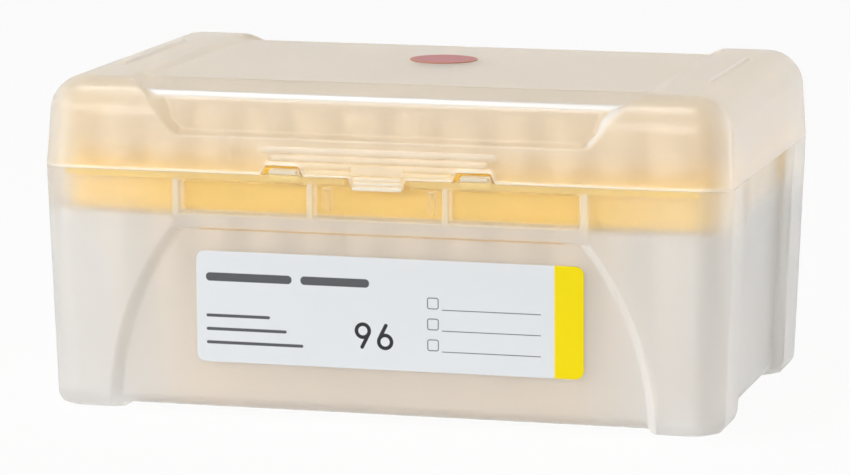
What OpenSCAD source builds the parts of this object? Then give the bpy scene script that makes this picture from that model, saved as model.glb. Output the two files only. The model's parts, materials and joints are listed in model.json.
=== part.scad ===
// Hinged rack box of filter pipette tips, in millimetres.
// The origin is the centre of the footprint, on the surface the feet stand on.
// +X runs to the right along the front, +Y to the hinges, +Z up.

/* [Box] */
// Width of the box at the rim
rim_w = 123.4; // [122:0.2:126]
// Depth of the box at the rim
rim_d = 81; // [80.6:0.2:83]
// Height of the base's rim
rim_z = 43.4; // [43:0.1:44]
// Height of the closed box
box_h = 59.2; // [59:0.1:60]
// Corner radius in plan
corner_r = 6; // [5:0.5:7]
// Wall thickness of the base
base_wall = 1.4; // [1.2:0.1:1.5]
// Wall thickness of the lid
lid_wall = 1.3; // [1.1:0.1:1.4]
// Lean of the base's walls, mm for each mm of height
base_draft = 0.033; // [0.02:0.001:0.035]
// Lean of the lid's walls, mm for each mm of height
lid_draft = 0.05; // [0.03:0.01:0.05]
// Height of the feet under the base's floor
foot_h = 0.9; // [0.6:0.1:1]

/* [Rack] */
// Distance between neighbouring tips
pitch = 9; // [9]
// Columns of tips
columns = 12; // [12]
// Tips in a column
rows = 8; // [8]
// Height of the tray's top face
tray_z = 44.2; // [44:0.1:44.4]
// Width of the tray
tray_w = 115; // [114:0.5:115]
// Depth of the tray
tray_d = 73.8; // [73:0.2:74]
// Depth of the tray's skirt
skirt_h = 8.1; // [7:0.1:8.1]

/* [Tips] */
// Height of the tips' upper ends
tip_top = 54; // [53:0.2:54.4]
// Height of the tips' lower ends
tip_end = 4; // [3.5:0.5:6]
// Height of the filters' lower faces
filter_z = 25; // [24:0.5:26]
// Height of a filter
filter_h = 5; // [4:0.5:6]

/* [Lid] */
// Radius of the lid's upper edge
lid_edge_r = 6.7; // [6:0.1:7]
// Depth of the pockets in the lid's front and back
pocket_t = 2.1; // [1.6:0.1:2.3]
// Depth of the shallow channel across the lid's top
channel_t = 0.7; // [0.5:0.1:0.8]

/* [Hinge] */
// How far the lid opens, in degrees, to draw it open
lid_open = 0; // [0:5:110]
// Distance of each hinge from the middle
hinge_x = 30; // [24:1:34]
// Radius of a hinge pin
pin_r = 0.9; // [0.8:0.05:1]
// Width of a hinge eye
eye_w = 8; // [6:0.5:10]

/* [Label] */
// Width of the label
label_w = 69.5; // [60:0.5:70]
// Height of the label
label_h = 19.8; // [16:0.2:20]
// Diameter of the indicator dot
dot_d = 12.4; // [10:0.2:14]

/* [Hidden] */
$fn = 48;
eps = 0.01;
hinge_gap = 0.15;               // from a knuckle to the walls
knuckle_r = 1.6;
bore_r = pin_r + 0.05;
knuckle_out = 2 * knuckle_r + hinge_gap;
rack_y = -knuckle_out / 2;      // the knuckles stand behind the box, and the box moves forward to suit
axis_y = rim_d / 2 + hinge_gap + knuckle_r;
axis_z = rim_z + 0.05;
ear_t = 2;                      // thickness of a hinge ear
seam = 0.1;                     // gap between the rim and the lid's edge
base_lean = atan(base_draft);
lid_lean = atan(lid_draft);

// Relief of the base
base_edge_r = 3;                // edge between walls and floor
panel_t = 1.9;                  // depth of the lower front and back panels
panel_top = 33.75;              // upper edge of those panels
panel_r = 53.9;                 // radius of the panels' curved ends
panel_cx = 4.6;                 // how far past the middle an end's centre lies
panel_side = 2;                 // run of the panels' curved ends
bay_t = 1.5;                    // depth of the bays under the rim
bay_bottom = 36;
bay_top = 42.2;
bay_edge = 36.1;                // middle of the outer ribs beside the bays
bay_rib_x = 12.1;               // middle of the inner ribs
bay_rib_w = 1.3;
side_t = 2;                     // depth of the panels in the two ends
side_y = 22;                    // half their width
foot_x = 47;                    // where the feet begin along X
foot_y = 22.6;                  // and along Y

// Relief of the lid
pocket_bottom = 49.7;
pocket_half = 37.1;             // half width of a pocket at its lower edge
pocket_flare = 0.93;            // gain in half width for each mm of height
pocket_run = 2.3;               // run of a pocket's slanted sides
pocket_lip = 1;                 // rise of a pocket's lower lip
bend_z = 56.9;                  // where a pocket's face bends over to the top
channel_y = 28.6;               // where the channel's level part ends
channel_z = box_h - channel_t;
notch_x = 17.1;                 // middle of each catch notch
notch_w = 8;
notch_top = 45.2;
tab_w = 10.4;                   // latch tab under the front edge
tab_h = 2.1;
tab_t = 1.2;

// Tips, as radii
body_r = 2.95;
hole_r = 3.05;
collar_r = 3.55;
head_r = 3.75;

function tip_node(c) = str("tips_column_", c < 10 ? "0" : "", c);
function filter_node(c) = str("filters_column_", c < 10 ? "0" : "", c);
function tip_x(c) = (c - (columns + 1) / 2) * pitch;
function tip_y(r) = (r - (rows + 1) / 2) * pitch;

// ---- Helpers ----

// Puts its children at the four corners of a rectangle.
module at_corners(w, d) {
    for (sx = [-1, 1], sy = [-1, 1]) translate([sx * w / 2, sy * d / 2, 0]) children();
}

// A flat rectangle with round corners.
module round_rect(w, d, r) {
    square([w - 2 * r, d], center = true);
    square([w, d - 2 * r], center = true);
    at_corners(w - 2 * r, d - 2 * r) circle(r);
}

// Its children and their mirror image at the back.
module front_and_back() {
    children();
    mirror([0, 1, 0]) children();
}

// Its children and their mirror image at the other end.
module both_ends() {
    children();
    mirror([1, 0, 0]) children();
}

// Stands its children on the base's front face: x along it, y into the wall, z up from the rim.
module on_base_front() {
    translate([0, -rim_d / 2, rim_z]) rotate([base_lean, 0, 0]) children();
}

// The same on the lid's front face.
module on_lid_front() {
    translate([0, -rim_d / 2, rim_z]) rotate([-lid_lean, 0, 0]) children();
}

// ---- Base ----

// The base's outer form, or with an inset the hollow inside it, above the height z0.
module base_form(inset, z0) {
    top_w = rim_w - 2 * inset;
    top_d = rim_d - 2 * inset;
    r = corner_r - inset;
    edge = base_edge_r - inset;
    fall = base_draft * (rim_z - z0 - edge);
    hull() {
        translate([0, 0, rim_z]) at_corners(top_w - 2 * r, top_d - 2 * r)
            cylinder(r = r, h = inset + eps, $fn = 32);
        translate([0, 0, z0 + edge]) at_corners(top_w - 2 * r - 2 * fall, top_d - 2 * r - 2 * fall)
            rotate_extrude($fn = 32) translate([r - edge, 0]) circle(edge, $fn = 24);
    }
}

// The recess of a lower panel, between two curved ends, grown by a wall's thickness for the hollow.
module panel_recess(grow) {
    depth = panel_t + grow;
    cone_h = depth + 1;
    slope = panel_side / panel_t;
    on_base_front() intersection_for(side = [-1, 1])
        intersection() {
            translate([-side * panel_cx, -1, -rim_z]) rotate([-90, 0, 0])
                cylinder(h = cone_h, r1 = panel_r + grow + slope, r2 = panel_r + grow - slope * depth);
            translate([-rim_w / 2, -1, -rim_z - 5])
                cube([rim_w, cone_h, panel_top + grow + 5]);
        }
}

// One bay under the rim, from x0 to x1.
module bay(x0, x1) {
    on_base_front() translate([x0, -1, bay_bottom - rim_z])
        cube([x1 - x0, bay_t + 1, bay_top - bay_bottom]);
}

// The three bays between the four ribs of the front.
module bays() {
    half_rib = bay_rib_w / 2;
    edges = [-bay_edge, -bay_rib_x, bay_rib_x, bay_edge];
    for (i = [0 : 2]) bay(edges[i] + half_rib, edges[i + 1] - half_rib);
}

// The panel in one end wall, and with grow the wall behind it.
module side_recess(grow) {
    translate([rim_w / 2, 0, rim_z]) rotate([0, base_lean, 0])
        translate([-side_t - grow, -side_y - grow, -rim_z - 5])
            cube([side_t + grow + 2, 2 * (side_y + grow), rim_z + 10]);
}

// The cross-shaped space under the floor, between the four feet.
module underside() {
    translate([0, 0, -1]) linear_extrude(foot_h + 1) {
        square([2 * foot_x, 2 * rim_d], center = true);
        square([2 * rim_w, 2 * foot_y], center = true);
    }
}

// The hollow of the base, which follows the outer relief at one wall's thickness.
module base_hollow() {
    difference() {
        base_form(base_wall, foot_h + base_wall);
        front_and_back() panel_recess(base_wall);
        on_base_front() translate([-bay_edge - bay_rib_w, -1, panel_top - rim_z])
            cube([2 * (bay_edge + bay_rib_w), 1 + bay_t + base_wall, 20]);
        both_ends() side_recess(base_wall);
    }
}

// The ribs inside the back and end walls that carry the tray's skirt.
module tray_ribs() {
    rib_t = 1.2;
    rib_deep = 4.8;
    rib_h = tray_z - skirt_h - foot_h;
    mirror([0, 1, 0]) both_ends() for (x = [10, 30])
        on_base_front() translate([x, panel_t + base_wall / 2, foot_h - rim_z])
            cube([rib_t, rib_deep - panel_t - base_wall / 2, rib_h]);
    both_ends() for (y = [-14, 14])
        translate([rim_w / 2, y - rib_t / 2, rim_z]) rotate([0, base_lean, 0])
            translate([-5.6, 0, foot_h - rim_z]) cube([5.6 - side_t - base_wall / 2, rib_t, rib_h]);
}

// The two upright catches on the front rim, and the small hooked ribs in the middle bay.
module catches() {
    both_ends() {
        translate([notch_x - 2.9, -rim_d / 2 + 1.4, rim_z - 1]) cube([5.8, 1.2, 2]);
        translate([notch_x - 2.4, -rim_d / 2 + 0.6, rim_z + 0.25]) cube([4.8, 1, 0.6]);
        on_base_front() translate([9.2, 0.6, -5.9]) cube([0.7, bay_t, 4]);
        on_base_front() translate([9.2, 0.3, -2.6]) cube([0.7, bay_t, 0.7]);
    }
}

// One hinge of the base: two ears on the back wall with a pin between them.
module base_hinge() {
    ears = eye_w / 2 + 0.1;
    for (x = [-ears - ear_t, ears]) translate([x, 0, 0]) {
        translate([0, axis_y, axis_z]) rotate([0, 90, 0]) cylinder(r = knuckle_r, h = ear_t);
        translate([0, rim_d / 2 - 1, axis_z - knuckle_r]) cube([ear_t, axis_y - rim_d / 2 + 1, knuckle_r - 0.06]);
    }
    translate([-ears - 0.5, axis_y, axis_z]) rotate([0, 90, 0]) cylinder(r = pin_r, h = 2 * ears + 1);
}

module base() translate([0, rack_y, 0]) color([0.87, 0.83, 0.77, 0.6]) {
    difference() {
        base_form(0, 0);
        translate([-rim_w, -rim_d, rim_z]) cube([2 * rim_w, 2 * rim_d, 5]);
        front_and_back() panel_recess(0);
        both_ends() side_recess(0);
        bays();
        on_base_front() translate([-tab_w / 2 - 0.6, -1, bay_bottom - rim_z + 1])
            cube([tab_w + 1.2, bay_t + 1, 20]);
        underside();
        base_hollow();
    }
    tray_ribs();
    catches();
    for (sx = [-1, 1]) translate([sx * hinge_x, 0, 0]) base_hinge();
}

// ---- Lid ----

// The lid's outer form, or with an inset the hollow inside it.
module lid_form(inset) {
    w = rim_w - 2 * inset;
    d = rim_d - 2 * inset;
    r = corner_r - inset;
    edge = lid_edge_r - inset;
    fall = lid_draft * (box_h - lid_edge_r - rim_z);
    hull() {
        translate([0, 0, rim_z + seam - inset]) at_corners(w - 2 * r, d - 2 * r)
            cylinder(r = r, h = eps, $fn = 32);
        translate([0, 0, box_h - lid_edge_r])
            at_corners(w - 2 * edge - 2 * fall, d - 2 * edge - 2 * fall) sphere(edge, $fn = 40);
    }
}

// An upright trapezoid slab, open upwards: half width at the height z0, flaring as it rises.
module pocket_slab(half, z0) {
    rise = box_h + 2 - rim_z - z0;
    translate([0, 0.05, 0]) rotate([90, 0, 0]) linear_extrude(0.05)
        polygon([[-half, z0], [half, z0], [half + rise * pocket_flare, z0 + rise],
                 [-half - rise * pocket_flare, z0 + rise]]);
}

// The pocket in the lid's front, with slanted sides and a slanted lower lip.
module pocket(grow) {
    z0 = pocket_bottom - rim_z - grow;
    half = pocket_half + grow;
    out = 0.6;                  // how far the cutter stands off the face
    run = pocket_run / pocket_t;
    lip = pocket_lip / pocket_t;
    on_lid_front() hull() {
        translate([0, -out, 0]) pocket_slab(half + out * run, z0 - out * lip);
        translate([0, pocket_t + grow, 0])
            pocket_slab(half - (pocket_t + grow) * run + pocket_lip * pocket_flare, z0 + (pocket_t + grow) * lip);
    }
}

// The channel across the top, level in the middle and falling a little to both pockets.
module channel(grow) {
    bend_y = rim_d / 2 - lid_draft * (bend_z - rim_z) - pocket_t;
    fall = (channel_z - bend_z) / (bend_y - channel_y);
    reach = 50;
    end_z = channel_z - fall * (reach - channel_y);
    intersection() {
        translate([-60, 0, 0]) rotate([90, 0, 90]) linear_extrude(120)
            polygon([[-reach, end_z - grow], [-channel_y, channel_z - grow], [channel_y, channel_z - grow],
                     [reach, end_z - grow], [reach, box_h + 2], [-reach, box_h + 2]]);
        translate([0, reach, 0]) rotate([90, 0, 0]) linear_extrude(2 * reach)
            polygon([[-42 - grow, 50], [42 + grow, 50], [43 + grow, bend_z], [44.5 + grow, channel_z],
                     [49.5 + grow, box_h + 1], [49.5 + grow, box_h + 2], [-49.5 - grow, box_h + 2],
                     [-49.5 - grow, box_h + 1], [-44.5 - grow, channel_z], [-43 - grow, bend_z]]);
    }
}

// A notch in the lid's front edge over a catch, narrower at its top.
module notch() {
    translate([notch_x, -rim_d / 2 + 3, 0]) rotate([90, 0, 0]) linear_extrude(5)
        polygon([[-notch_w / 2, rim_z - 1], [notch_w / 2, rim_z - 1], [notch_w / 2, rim_z + 0.4],
                 [notch_w / 2 - 1, notch_top], [-notch_w / 2 + 1, notch_top], [-notch_w / 2, rim_z + 0.4]]);
}

// The grip: level bars on the lower front, each shorter than the one above. The lowest lies between the notches.
module grip() {
    bars = [[12.8, 44.15], [18.1, 45.6], [19.5, 46.6], [21.3, 47.9]];
    for (bar = bars) translate([0, -rim_d / 2 + 0.15, bar[1]]) cube([2 * bar[0], 0.3, 0.7], center = true);
}

// The latch tab that hangs from the front edge, with three finger ridges.
module latch_tab() {
    translate([0, -rim_d / 2 + tab_t, 0]) rotate([90, 0, 0]) linear_extrude(tab_t)
        polygon([[-tab_w / 2, rim_z + 0.5], [tab_w / 2, rim_z + 0.5], [tab_w / 2, rim_z],
                 [tab_w / 2 - 1, rim_z - tab_h], [-tab_w / 2 + 1, rim_z - tab_h], [-tab_w / 2, rim_z]]);
}

// One eye of the lid, with a bore for the base's pin and an arm to the back wall.
module lid_hinge_eye() {
    difference() {
        union() {
            translate([-eye_w / 2, axis_y, axis_z]) rotate([0, 90, 0]) cylinder(r = knuckle_r, h = eye_w);
            translate([-eye_w / 2, rim_d / 2 - 0.6, axis_z + 0.1])
                cube([eye_w, axis_y - rim_d / 2 + 0.6, knuckle_r - 0.1]);
        }
        translate([-eye_w, axis_y, axis_z]) rotate([0, 90, 0]) cylinder(r = bore_r, h = 2 * eye_w);
    }
}

// The two low ribs across the ends of the lid's top, which locate a box stacked on it.
module stacking_ribs() {
    for (x = [-53, 53.7]) translate([x - 0.5, -18, box_h - 0.5]) cube([1, 35.3, 0.5 + 0.4]);
}

module lid() translate([0, rack_y, 0]) color([0.87, 0.83, 0.77, 0.6])
    translate([0, axis_y, axis_z]) rotate([-lid_open, 0, 0]) translate([0, -axis_y, -axis_z]) {
        difference() {
            lid_form(0);
            front_and_back() pocket(0);
            channel(0);
            difference() {
                lid_form(lid_wall);
                front_and_back() pocket(lid_wall);
                channel(lid_wall);
            }
            both_ends() notch();
        }
        grip();
        latch_tab();
        stacking_ribs();
        for (sx = [-1, 1]) translate([sx * hinge_x, 0, 0]) lid_hinge_eye();
    }

// ---- Rack ----

// The yellow tray: a plate of holes with a rim and a skirt, ribs under the plate, and two grips at each end.
module tray() translate([0, rack_y, 0]) color([0.98, 0.78, 0.22]) {
    plate_t = 1.5;
    rim_t = 1.3;
    rim_out = 0.4;
    skirt_t = 1.2;
    grip_top = 54.3;
    grip_x = [55.3, 56.7];
    grip_y = [22, 32.6];
    r = 4;
    difference() {
        union() {
            translate([0, 0, tray_z - skirt_h]) linear_extrude(skirt_h) round_rect(tray_w, tray_d, r);
            translate([0, 0, tray_z - rim_t]) linear_extrude(rim_t)
                round_rect(tray_w + 2 * rim_out, tray_d + 2 * rim_out, r + rim_out);
        }
        translate([0, 0, tray_z - skirt_h - 1]) linear_extrude(skirt_h + 1 - plate_t)
            round_rect(tray_w - 2 * skirt_t, tray_d - 2 * skirt_t, r - skirt_t);
        for (c = [1 : columns], i = [1 : rows]) translate([tip_x(c), tip_y(i), tray_z - 3])
            cylinder(r = hole_r, h = 4);
    }
    for (i = [1 : 2 : rows - 1]) translate([-tray_w / 2 + 1, tip_y(i) + pitch / 2 - 0.5, tray_z - 4.5])
        cube([tray_w - 2, 1, 4]);
    for (c = [3 : 3 : columns - 1]) translate([tip_x(c) + pitch / 2 - 0.5, -tray_d / 2 + 1, tray_z - 4.5])
        cube([1, tray_d - 2, 4]);
    both_ends() front_and_back() translate([grip_x[0], grip_y[0], tray_z - 1])
        cube([grip_x[1] - grip_x[0], grip_y[1] - grip_y[0], grip_top - tray_z + 1]);
}

// One tip: its collar rests on the tray, and its tapered body hangs through a hole.
module tip() {
    rotate_extrude() polygon([
        [0.55, tip_end], [1.05, 14], [1.75, 20.5], [2.45, filter_z], [2.75, 40], [body_r, tray_z],
        [collar_r, tray_z], [head_r, tip_top - 0.6], [head_r - 0.3, tip_top],
        [2.72, tip_top], [2.6, tray_z + 2], [2.2, filter_z + filter_h], [2, filter_z],
        [1.3, 20.5], [0.7, 14], [0.3, tip_end]]);
}

module tips_column(c) translate([tip_x(c), rack_y, 0]) color([0.93, 0.91, 0.87, 0.6])
    for (i = [1 : rows]) translate([0, tip_y(i), 0]) tip();

// One filter: a plug of sintered fibre that sits in the tip's tapered bore.
module filter_plug() {
    play = 0.03;
    rotate_extrude() polygon([[0, filter_z], [2 - play, filter_z],
                              [2.2 - play, filter_z + filter_h], [0, filter_z + filter_h]]);
}

module filters_column(c) translate([tip_x(c), rack_y, 0]) color("white")
    for (i = [1 : rows]) translate([0, tip_y(i), 0]) filter_plug();

// ---- Label and indicator ----

// The label on the front panel, a little right of the middle.
module label() translate([0, rack_y, 0]) color([0.95, 0.96, 0.98]) {
    label_t = 0.15;
    on_base_front() translate([1.4, panel_t, 19.4 - rim_z]) rotate([90, 0, 0])
        linear_extrude(label_t) round_rect(label_w, label_h, 1.5);
}

// The round indicator sticker on the lid's top.
module indicator_dot() translate([0, rack_y, 0]) color([0.78, 0.43, 0.45])
    translate([0, axis_y, axis_z]) rotate([-lid_open, 0, 0]) translate([0, -axis_y, -axis_z])
        translate([-0.7, 9, channel_z]) cylinder(d = dot_d, h = 0.15);

base();
lid();
tray();
label();
indicator_dot();
for (c = [1 : columns]) tips_column(c);
for (c = [1 : columns]) filters_column(c);
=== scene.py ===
"""Hinged rack box of filter pipette tips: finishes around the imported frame."""

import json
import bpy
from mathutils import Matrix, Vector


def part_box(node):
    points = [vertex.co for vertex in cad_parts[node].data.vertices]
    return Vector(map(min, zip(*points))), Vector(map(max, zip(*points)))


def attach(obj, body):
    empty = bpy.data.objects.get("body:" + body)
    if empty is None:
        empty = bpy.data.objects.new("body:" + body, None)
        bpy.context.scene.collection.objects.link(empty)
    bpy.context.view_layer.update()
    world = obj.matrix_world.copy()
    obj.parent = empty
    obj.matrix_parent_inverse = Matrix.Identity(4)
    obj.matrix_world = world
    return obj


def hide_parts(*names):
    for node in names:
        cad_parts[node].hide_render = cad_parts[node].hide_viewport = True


bl_info = {
    "name": "Pipette Tip Box",
    "version": (1, 0, 0),
    "blender": (4, 5, 0),
    "location": "View3D > Sidebar > Tip Box",
    "description": "Frosted rack box of filter tips with its tray, label and indicator",
    "category": "Object",
}

import bpy
import numpy as np
from bpy.props import FloatProperty, FloatVectorProperty, IntProperty, PointerProperty
from mathutils import Matrix, Vector

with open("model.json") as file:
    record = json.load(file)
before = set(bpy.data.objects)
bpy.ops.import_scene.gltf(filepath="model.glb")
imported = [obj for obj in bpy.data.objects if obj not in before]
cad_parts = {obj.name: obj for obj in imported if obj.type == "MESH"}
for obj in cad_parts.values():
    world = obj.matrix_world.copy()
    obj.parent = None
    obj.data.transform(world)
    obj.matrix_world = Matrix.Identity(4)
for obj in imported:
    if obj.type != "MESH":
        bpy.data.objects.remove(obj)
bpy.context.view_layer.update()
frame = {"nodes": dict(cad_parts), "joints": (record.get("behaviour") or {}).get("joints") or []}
MM = 0.001


def cad_box(node):
    """Lowest and highest corner of a CAD node, in millimetres."""
    low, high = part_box(node)
    return np.array(low) / MM, np.array(high) / MM


def cad_middle(node):
    """Centre of a CAD node's box, in millimetres."""
    low, high = cad_box(node)
    return (low + high) / 2


BASE_LOW, BASE_HIGH = cad_box("base")
LID_HIGHEST = cad_box("lid")[1][2]
TRAY_LOW, TRAY_HIGH = cad_box("tray")
HINGE = np.array(frame["joints"][0]["pos_m"]) / MM

MID_Y = (TRAY_LOW[1] + TRAY_HIGH[1]) / 2  # middle of the box, without its hinges
HALF_W = BASE_HIGH[0]  # half width and half depth at the rim
HALF_D = MID_Y - BASE_LOW[1]
RIM_Z = HINGE[2] - 0.05  # the base's rim, just under the hinge axis
FOOT_H = 0.9
CORNER_R = 6.0

# ---- sizes and colours


def length_prop(name, description, default, **limits):
    """A length, in metres."""
    return FloatProperty(name=name, description=description, default=default, unit="LENGTH", **limits)


def share_prop(name, description, default, low=0.0):
    """A share of 1."""
    return FloatProperty(name=name, description=description, default=default, min=low, max=1.0,
                         subtype="FACTOR")


def angle_prop(name, description, degrees):
    """An angle, given in degrees and kept in radians."""
    return FloatProperty(name=name, description=description, default=np.radians(degrees), subtype="ANGLE")


def colour_prop(name, description, default):
    """A linear colour."""
    return FloatVectorProperty(name=name, description=description, default=default, size=3, min=0, max=1,
                               subtype="COLOR")


class TipBoxShell(bpy.types.PropertyGroup):
    """Walls and relief of the two frosted mouldings."""

    base_wall: length_prop("Base wall", "Wall thickness of the base", 0.0014, min=0.0012, max=0.0015)
    lid_wall: length_prop("Lid wall", "Wall thickness of the lid", 0.0013, min=0.0011, max=0.0014)
    panel_depth: length_prop(
        "Panel depth", "Depth of the lower front and back panels", 0.0019, min=0.001, max=0.0022)
    bay_depth: length_prop("Bay depth", "Depth of the bays under the rim", 0.0015, min=0.001, max=0.0018)
    end_depth: length_prop(
        "End recess depth", "Depth of the recess in each end", 0.002, min=0.001, max=0.0022)
    pocket_depth: length_prop(
        "Pocket depth", "Depth of the pockets in the lid's front and back", 0.0021, min=0.0016, max=0.0023)
    channel_depth: length_prop(
        "Channel depth", "Depth of the channel across the lid's top", 0.0007, min=0.0005, max=0.0008)
    tint: colour_prop(
        "Tint", "Colour that the frosted plastic gives the light that passes it", (0.89, 0.88, 0.865))
    milk: colour_prop("Milk", "Colour of the light that the plastic scatters back", (0.87, 0.86, 0.845))
    base_milk: share_prop(
        "Base milkiness", "Share of the light that the base's faces scatter back", 0.09)
    lid_milk: share_prop("Lid milkiness", "Share of the light that the lid's faces scatter back", 0.13)
    haze: share_prop("Haze", "Roughness of the frosted faces", 0.82, 0.1)


class TipBoxRack(bpy.types.PropertyGroup):
    """Tray, tips and filters."""

    tip_fins: IntProperty(
        name="Fins", description="Upright fins round the head of a tip",
        default=8, min=4, max=12)
    fin_height: length_prop("Fin height", "How far a fin stands off the head", 0.0002, min=0.0, max=0.0003)
    tray_colour: colour_prop("Tray colour", "Colour of the tray", (0.81, 0.54, 0.078))
    tip_colour: colour_prop("Tip colour", "Colour of the tips' natural plastic", (0.93, 0.86, 0.75))


class TipBoxPrint(bpy.types.PropertyGroup):
    """Label and indicator."""

    stock: colour_prop("Label stock", "Colour of the bare label", (0.84, 0.87, 0.90))
    stripe: colour_prop("Stripe", "Colour of the stripe at the label's right", (1.0, 0.80, 0.0))
    indicator: colour_prop("Indicator", "Colour of the round indicator", (0.56, 0.13, 0.13))


class TipBoxStage(bpy.types.PropertyGroup):
    """Camera and light."""

    azimuth: angle_prop("Azimuth", "How far the camera stands to the right of the front", 14.5)
    elevation: angle_prop("Elevation", "How far the camera looks down", 9.08)
    roll: angle_prop("Roll", "Turn of the camera about its own axis", 0.115)
    distance: length_prop("Distance", "From the camera to the point that it aims at", 0.83413)
    lens: FloatProperty(
        name="Lens", description="Focal length in millimetres on a 36 mm sensor",
        default=194.82)
    world_light: FloatProperty(
        name="World light", description="Strength of the even light from all round",
        default=0.15, min=0.0, max=2.0)


def settings(group):
    """One of this file's property groups, as set on the scene."""
    return getattr(bpy.context.scene, group)


def in_mm(name):
    """One of the shell's lengths in millimetres."""
    return getattr(settings("tip_box_shell"), name) / MM


# ---- grids and meshes

SOFT_STEP = np.array([-0.3, 0, 0.15, 0.3, 0.5, 0.7, 0.85, 1, 1.3])
QUARTER_LINES = 9  # grid lines in half of a rounded corner


def smooth(x, start, end):
    """0 up to start and 1 past end, with 3t^2 - 2t^3 between them."""
    t = np.clip((x - start) / (end - start), 0, 1)
    return t * t * (3 - 2 * t)


def between(x, low, high, run):
    """1 from low to high, falling softly to 0 over run outside both."""
    return smooth(x, low - run, low) * (1 - smooth(x, high, high + run))


def blend(share, a, b):
    """a where share is 0 and b where it is 1."""
    return a + (b - a) * share


def step_lines(start, end):
    """Grid lines across a soft step, with a guard line at either side."""
    return start + (end - start) * SOFT_STEP


def grid_lines(marks, gap):
    """Every mark once, with wider spaces than gap divided evenly."""
    marks = np.unique(np.round(np.concatenate([np.atleast_1d(m) for m in marks]), 3))
    parts = [np.linspace(a, b, int(np.ceil((b - a) / gap)), endpoint=False) if b - a > gap else [a]
             for a, b in zip(marks, marks[1:])]
    return np.concatenate(parts + [marks[-1:]])


def both_signs(marks):
    """The marks and their mirror images."""
    return np.concatenate([-np.asarray(marks), marks])


def sheet_faces(ids):
    """Four-sided faces of a sheet, from its points' numbers in rows and columns."""
    return np.stack([ids[:-1, :-1], ids[1:, :-1], ids[1:, 1:], ids[:-1, 1:]], -1).reshape(-1, 4)


def ring_faces(low, high):
    """Four-sided faces from each ring of points in low to the one at the same row of high."""
    return np.stack([low, np.roll(low, -1, 1), np.roll(high, -1, 1), high], -1).reshape(-1, 4)


class BoxGrid:
    """Grid over the five faces of an open box, from its rim to its closed end.

    Each vertex has a place along X, Y and Z in the flat part of the faces, and for each of them an overhang
    from -1 to 1 that says how far round the corner it lies. The line that two faces share is one line.
    """

    def __init__(self, x_lines, y_lines, z_lines):
        over = np.linspace(0, 1, QUARTER_LINES)[1:]
        axes = []
        for marks, ends in ((x_lines, 2), (y_lines, 2), (z_lines, 1)):
            low = len(over) if ends == 2 else 0
            place = np.concatenate([np.full(low, marks[0]), marks, np.full(len(over), marks[-1])])
            lean = np.concatenate([-over[::-1][:low], np.zeros(len(marks)), over])
            axes.append((place, lean))
        self.counts = [len(place) for place, _ in axes]
        nx, ny, nz = self.counts
        i, j, k = (np.arange(n) for n in self.counts)
        faces = [                               # two running indices and the fixed third, turning outwards
            (*np.meshgrid(i, k, indexing="ij"), 0, "ikj", False),
            (*np.meshgrid(i, k, indexing="ij"), ny - 1, "ikj", True),
            (*np.meshgrid(j, k, indexing="ij"), 0, "jki", True),
            (*np.meshgrid(j, k, indexing="ij"), nx - 1, "jki", False),
            (*np.meshgrid(i, j, indexing="ij"), nz - 1, "ijk", False),
        ]
        keys, quads, start = [], [], 0
        for a, b, fixed, order, turned in faces:
            index = {order[0]: a, order[1]: b, order[2]: np.full_like(a, fixed)}
            keys.append(((index["i"] * ny + index["j"]) * nz + index["k"]).ravel())
            ids = np.arange(a.size).reshape(a.shape) + start
            start += a.size
            quad = sheet_faces(ids)
            quads.append(quad[:, ::-1] if turned else quad)
        kept, where = np.unique(np.concatenate(keys), return_inverse=True)
        self.quads = where[np.concatenate(quads)]
        index = (kept // nz // ny, kept // nz % ny, kept % nz)
        (self.x, self.x_over), (self.y, self.y_over), (self.z, self.z_over) = (
            (place[n], lean[n]) for (place, lean), n in zip(axes, index))
        self.is_cap = index[2] == nz - 1
        loop = np.concatenate([i[:-1] * ny, (nx - 1) * ny + j[:-1], i[:0:-1] * ny + ny - 1, j[:0:-1]]) * nz
        self.rim = np.searchsorted(kept, loop)
        self.front = (self.x_over == 0) & (self.y_over < 0)
        self.back = (self.x_over == 0) & (self.y_over > 0)
        self.ends = (self.y_over == 0) & (self.x_over != 0)
        self.flat = (self.x_over == 0) & (self.y_over == 0)

    def rounded(self, corner, edge):
        """Offsets along X and Y from the core and the rise past the walls, for round corners and edges.

        A vertex goes out from the core at the angle that its overhangs give. Its distance is corner on a
        wall. Round the edge to the closed end it is corner - edge plus edge times the cosine of the slope
        there, and the rise is edge times the sine.
        """
        quarter = np.pi / 4
        across = np.maximum(np.abs(self.x_over), np.abs(self.y_over))
        length = np.hypot(np.tan(self.x_over * quarter), np.tan(self.y_over * quarter))
        length = np.where(length == 0, 1, length)
        slope = np.where(self.is_cap, 2 * quarter - quarter * across, quarter * self.z_over)
        reach = (corner - edge) * np.where(self.is_cap, across, 1) + edge * np.cos(slope)
        reach = np.where(across == 0, 0, reach)
        return (reach * np.tan(self.x_over * quarter) / length,
                reach * np.tan(self.y_over * quarter) / length, edge * np.sin(slope))


def squeeze(place, kept, core, rim_core):
    """A place along a wall: the same up to kept, and from there drawn in with the wall to the core's edge."""
    size = np.abs(place)
    outer = kept + (size - kept) * (core - kept) / (rim_core - kept)
    return np.sign(place) * np.where(size > kept, outer, size)


def new_object(name, data):
    """A new object, linked to the scene's collection."""
    thing = bpy.data.objects.new(name, data)
    bpy.context.collection.objects.link(thing)
    return thing


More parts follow.
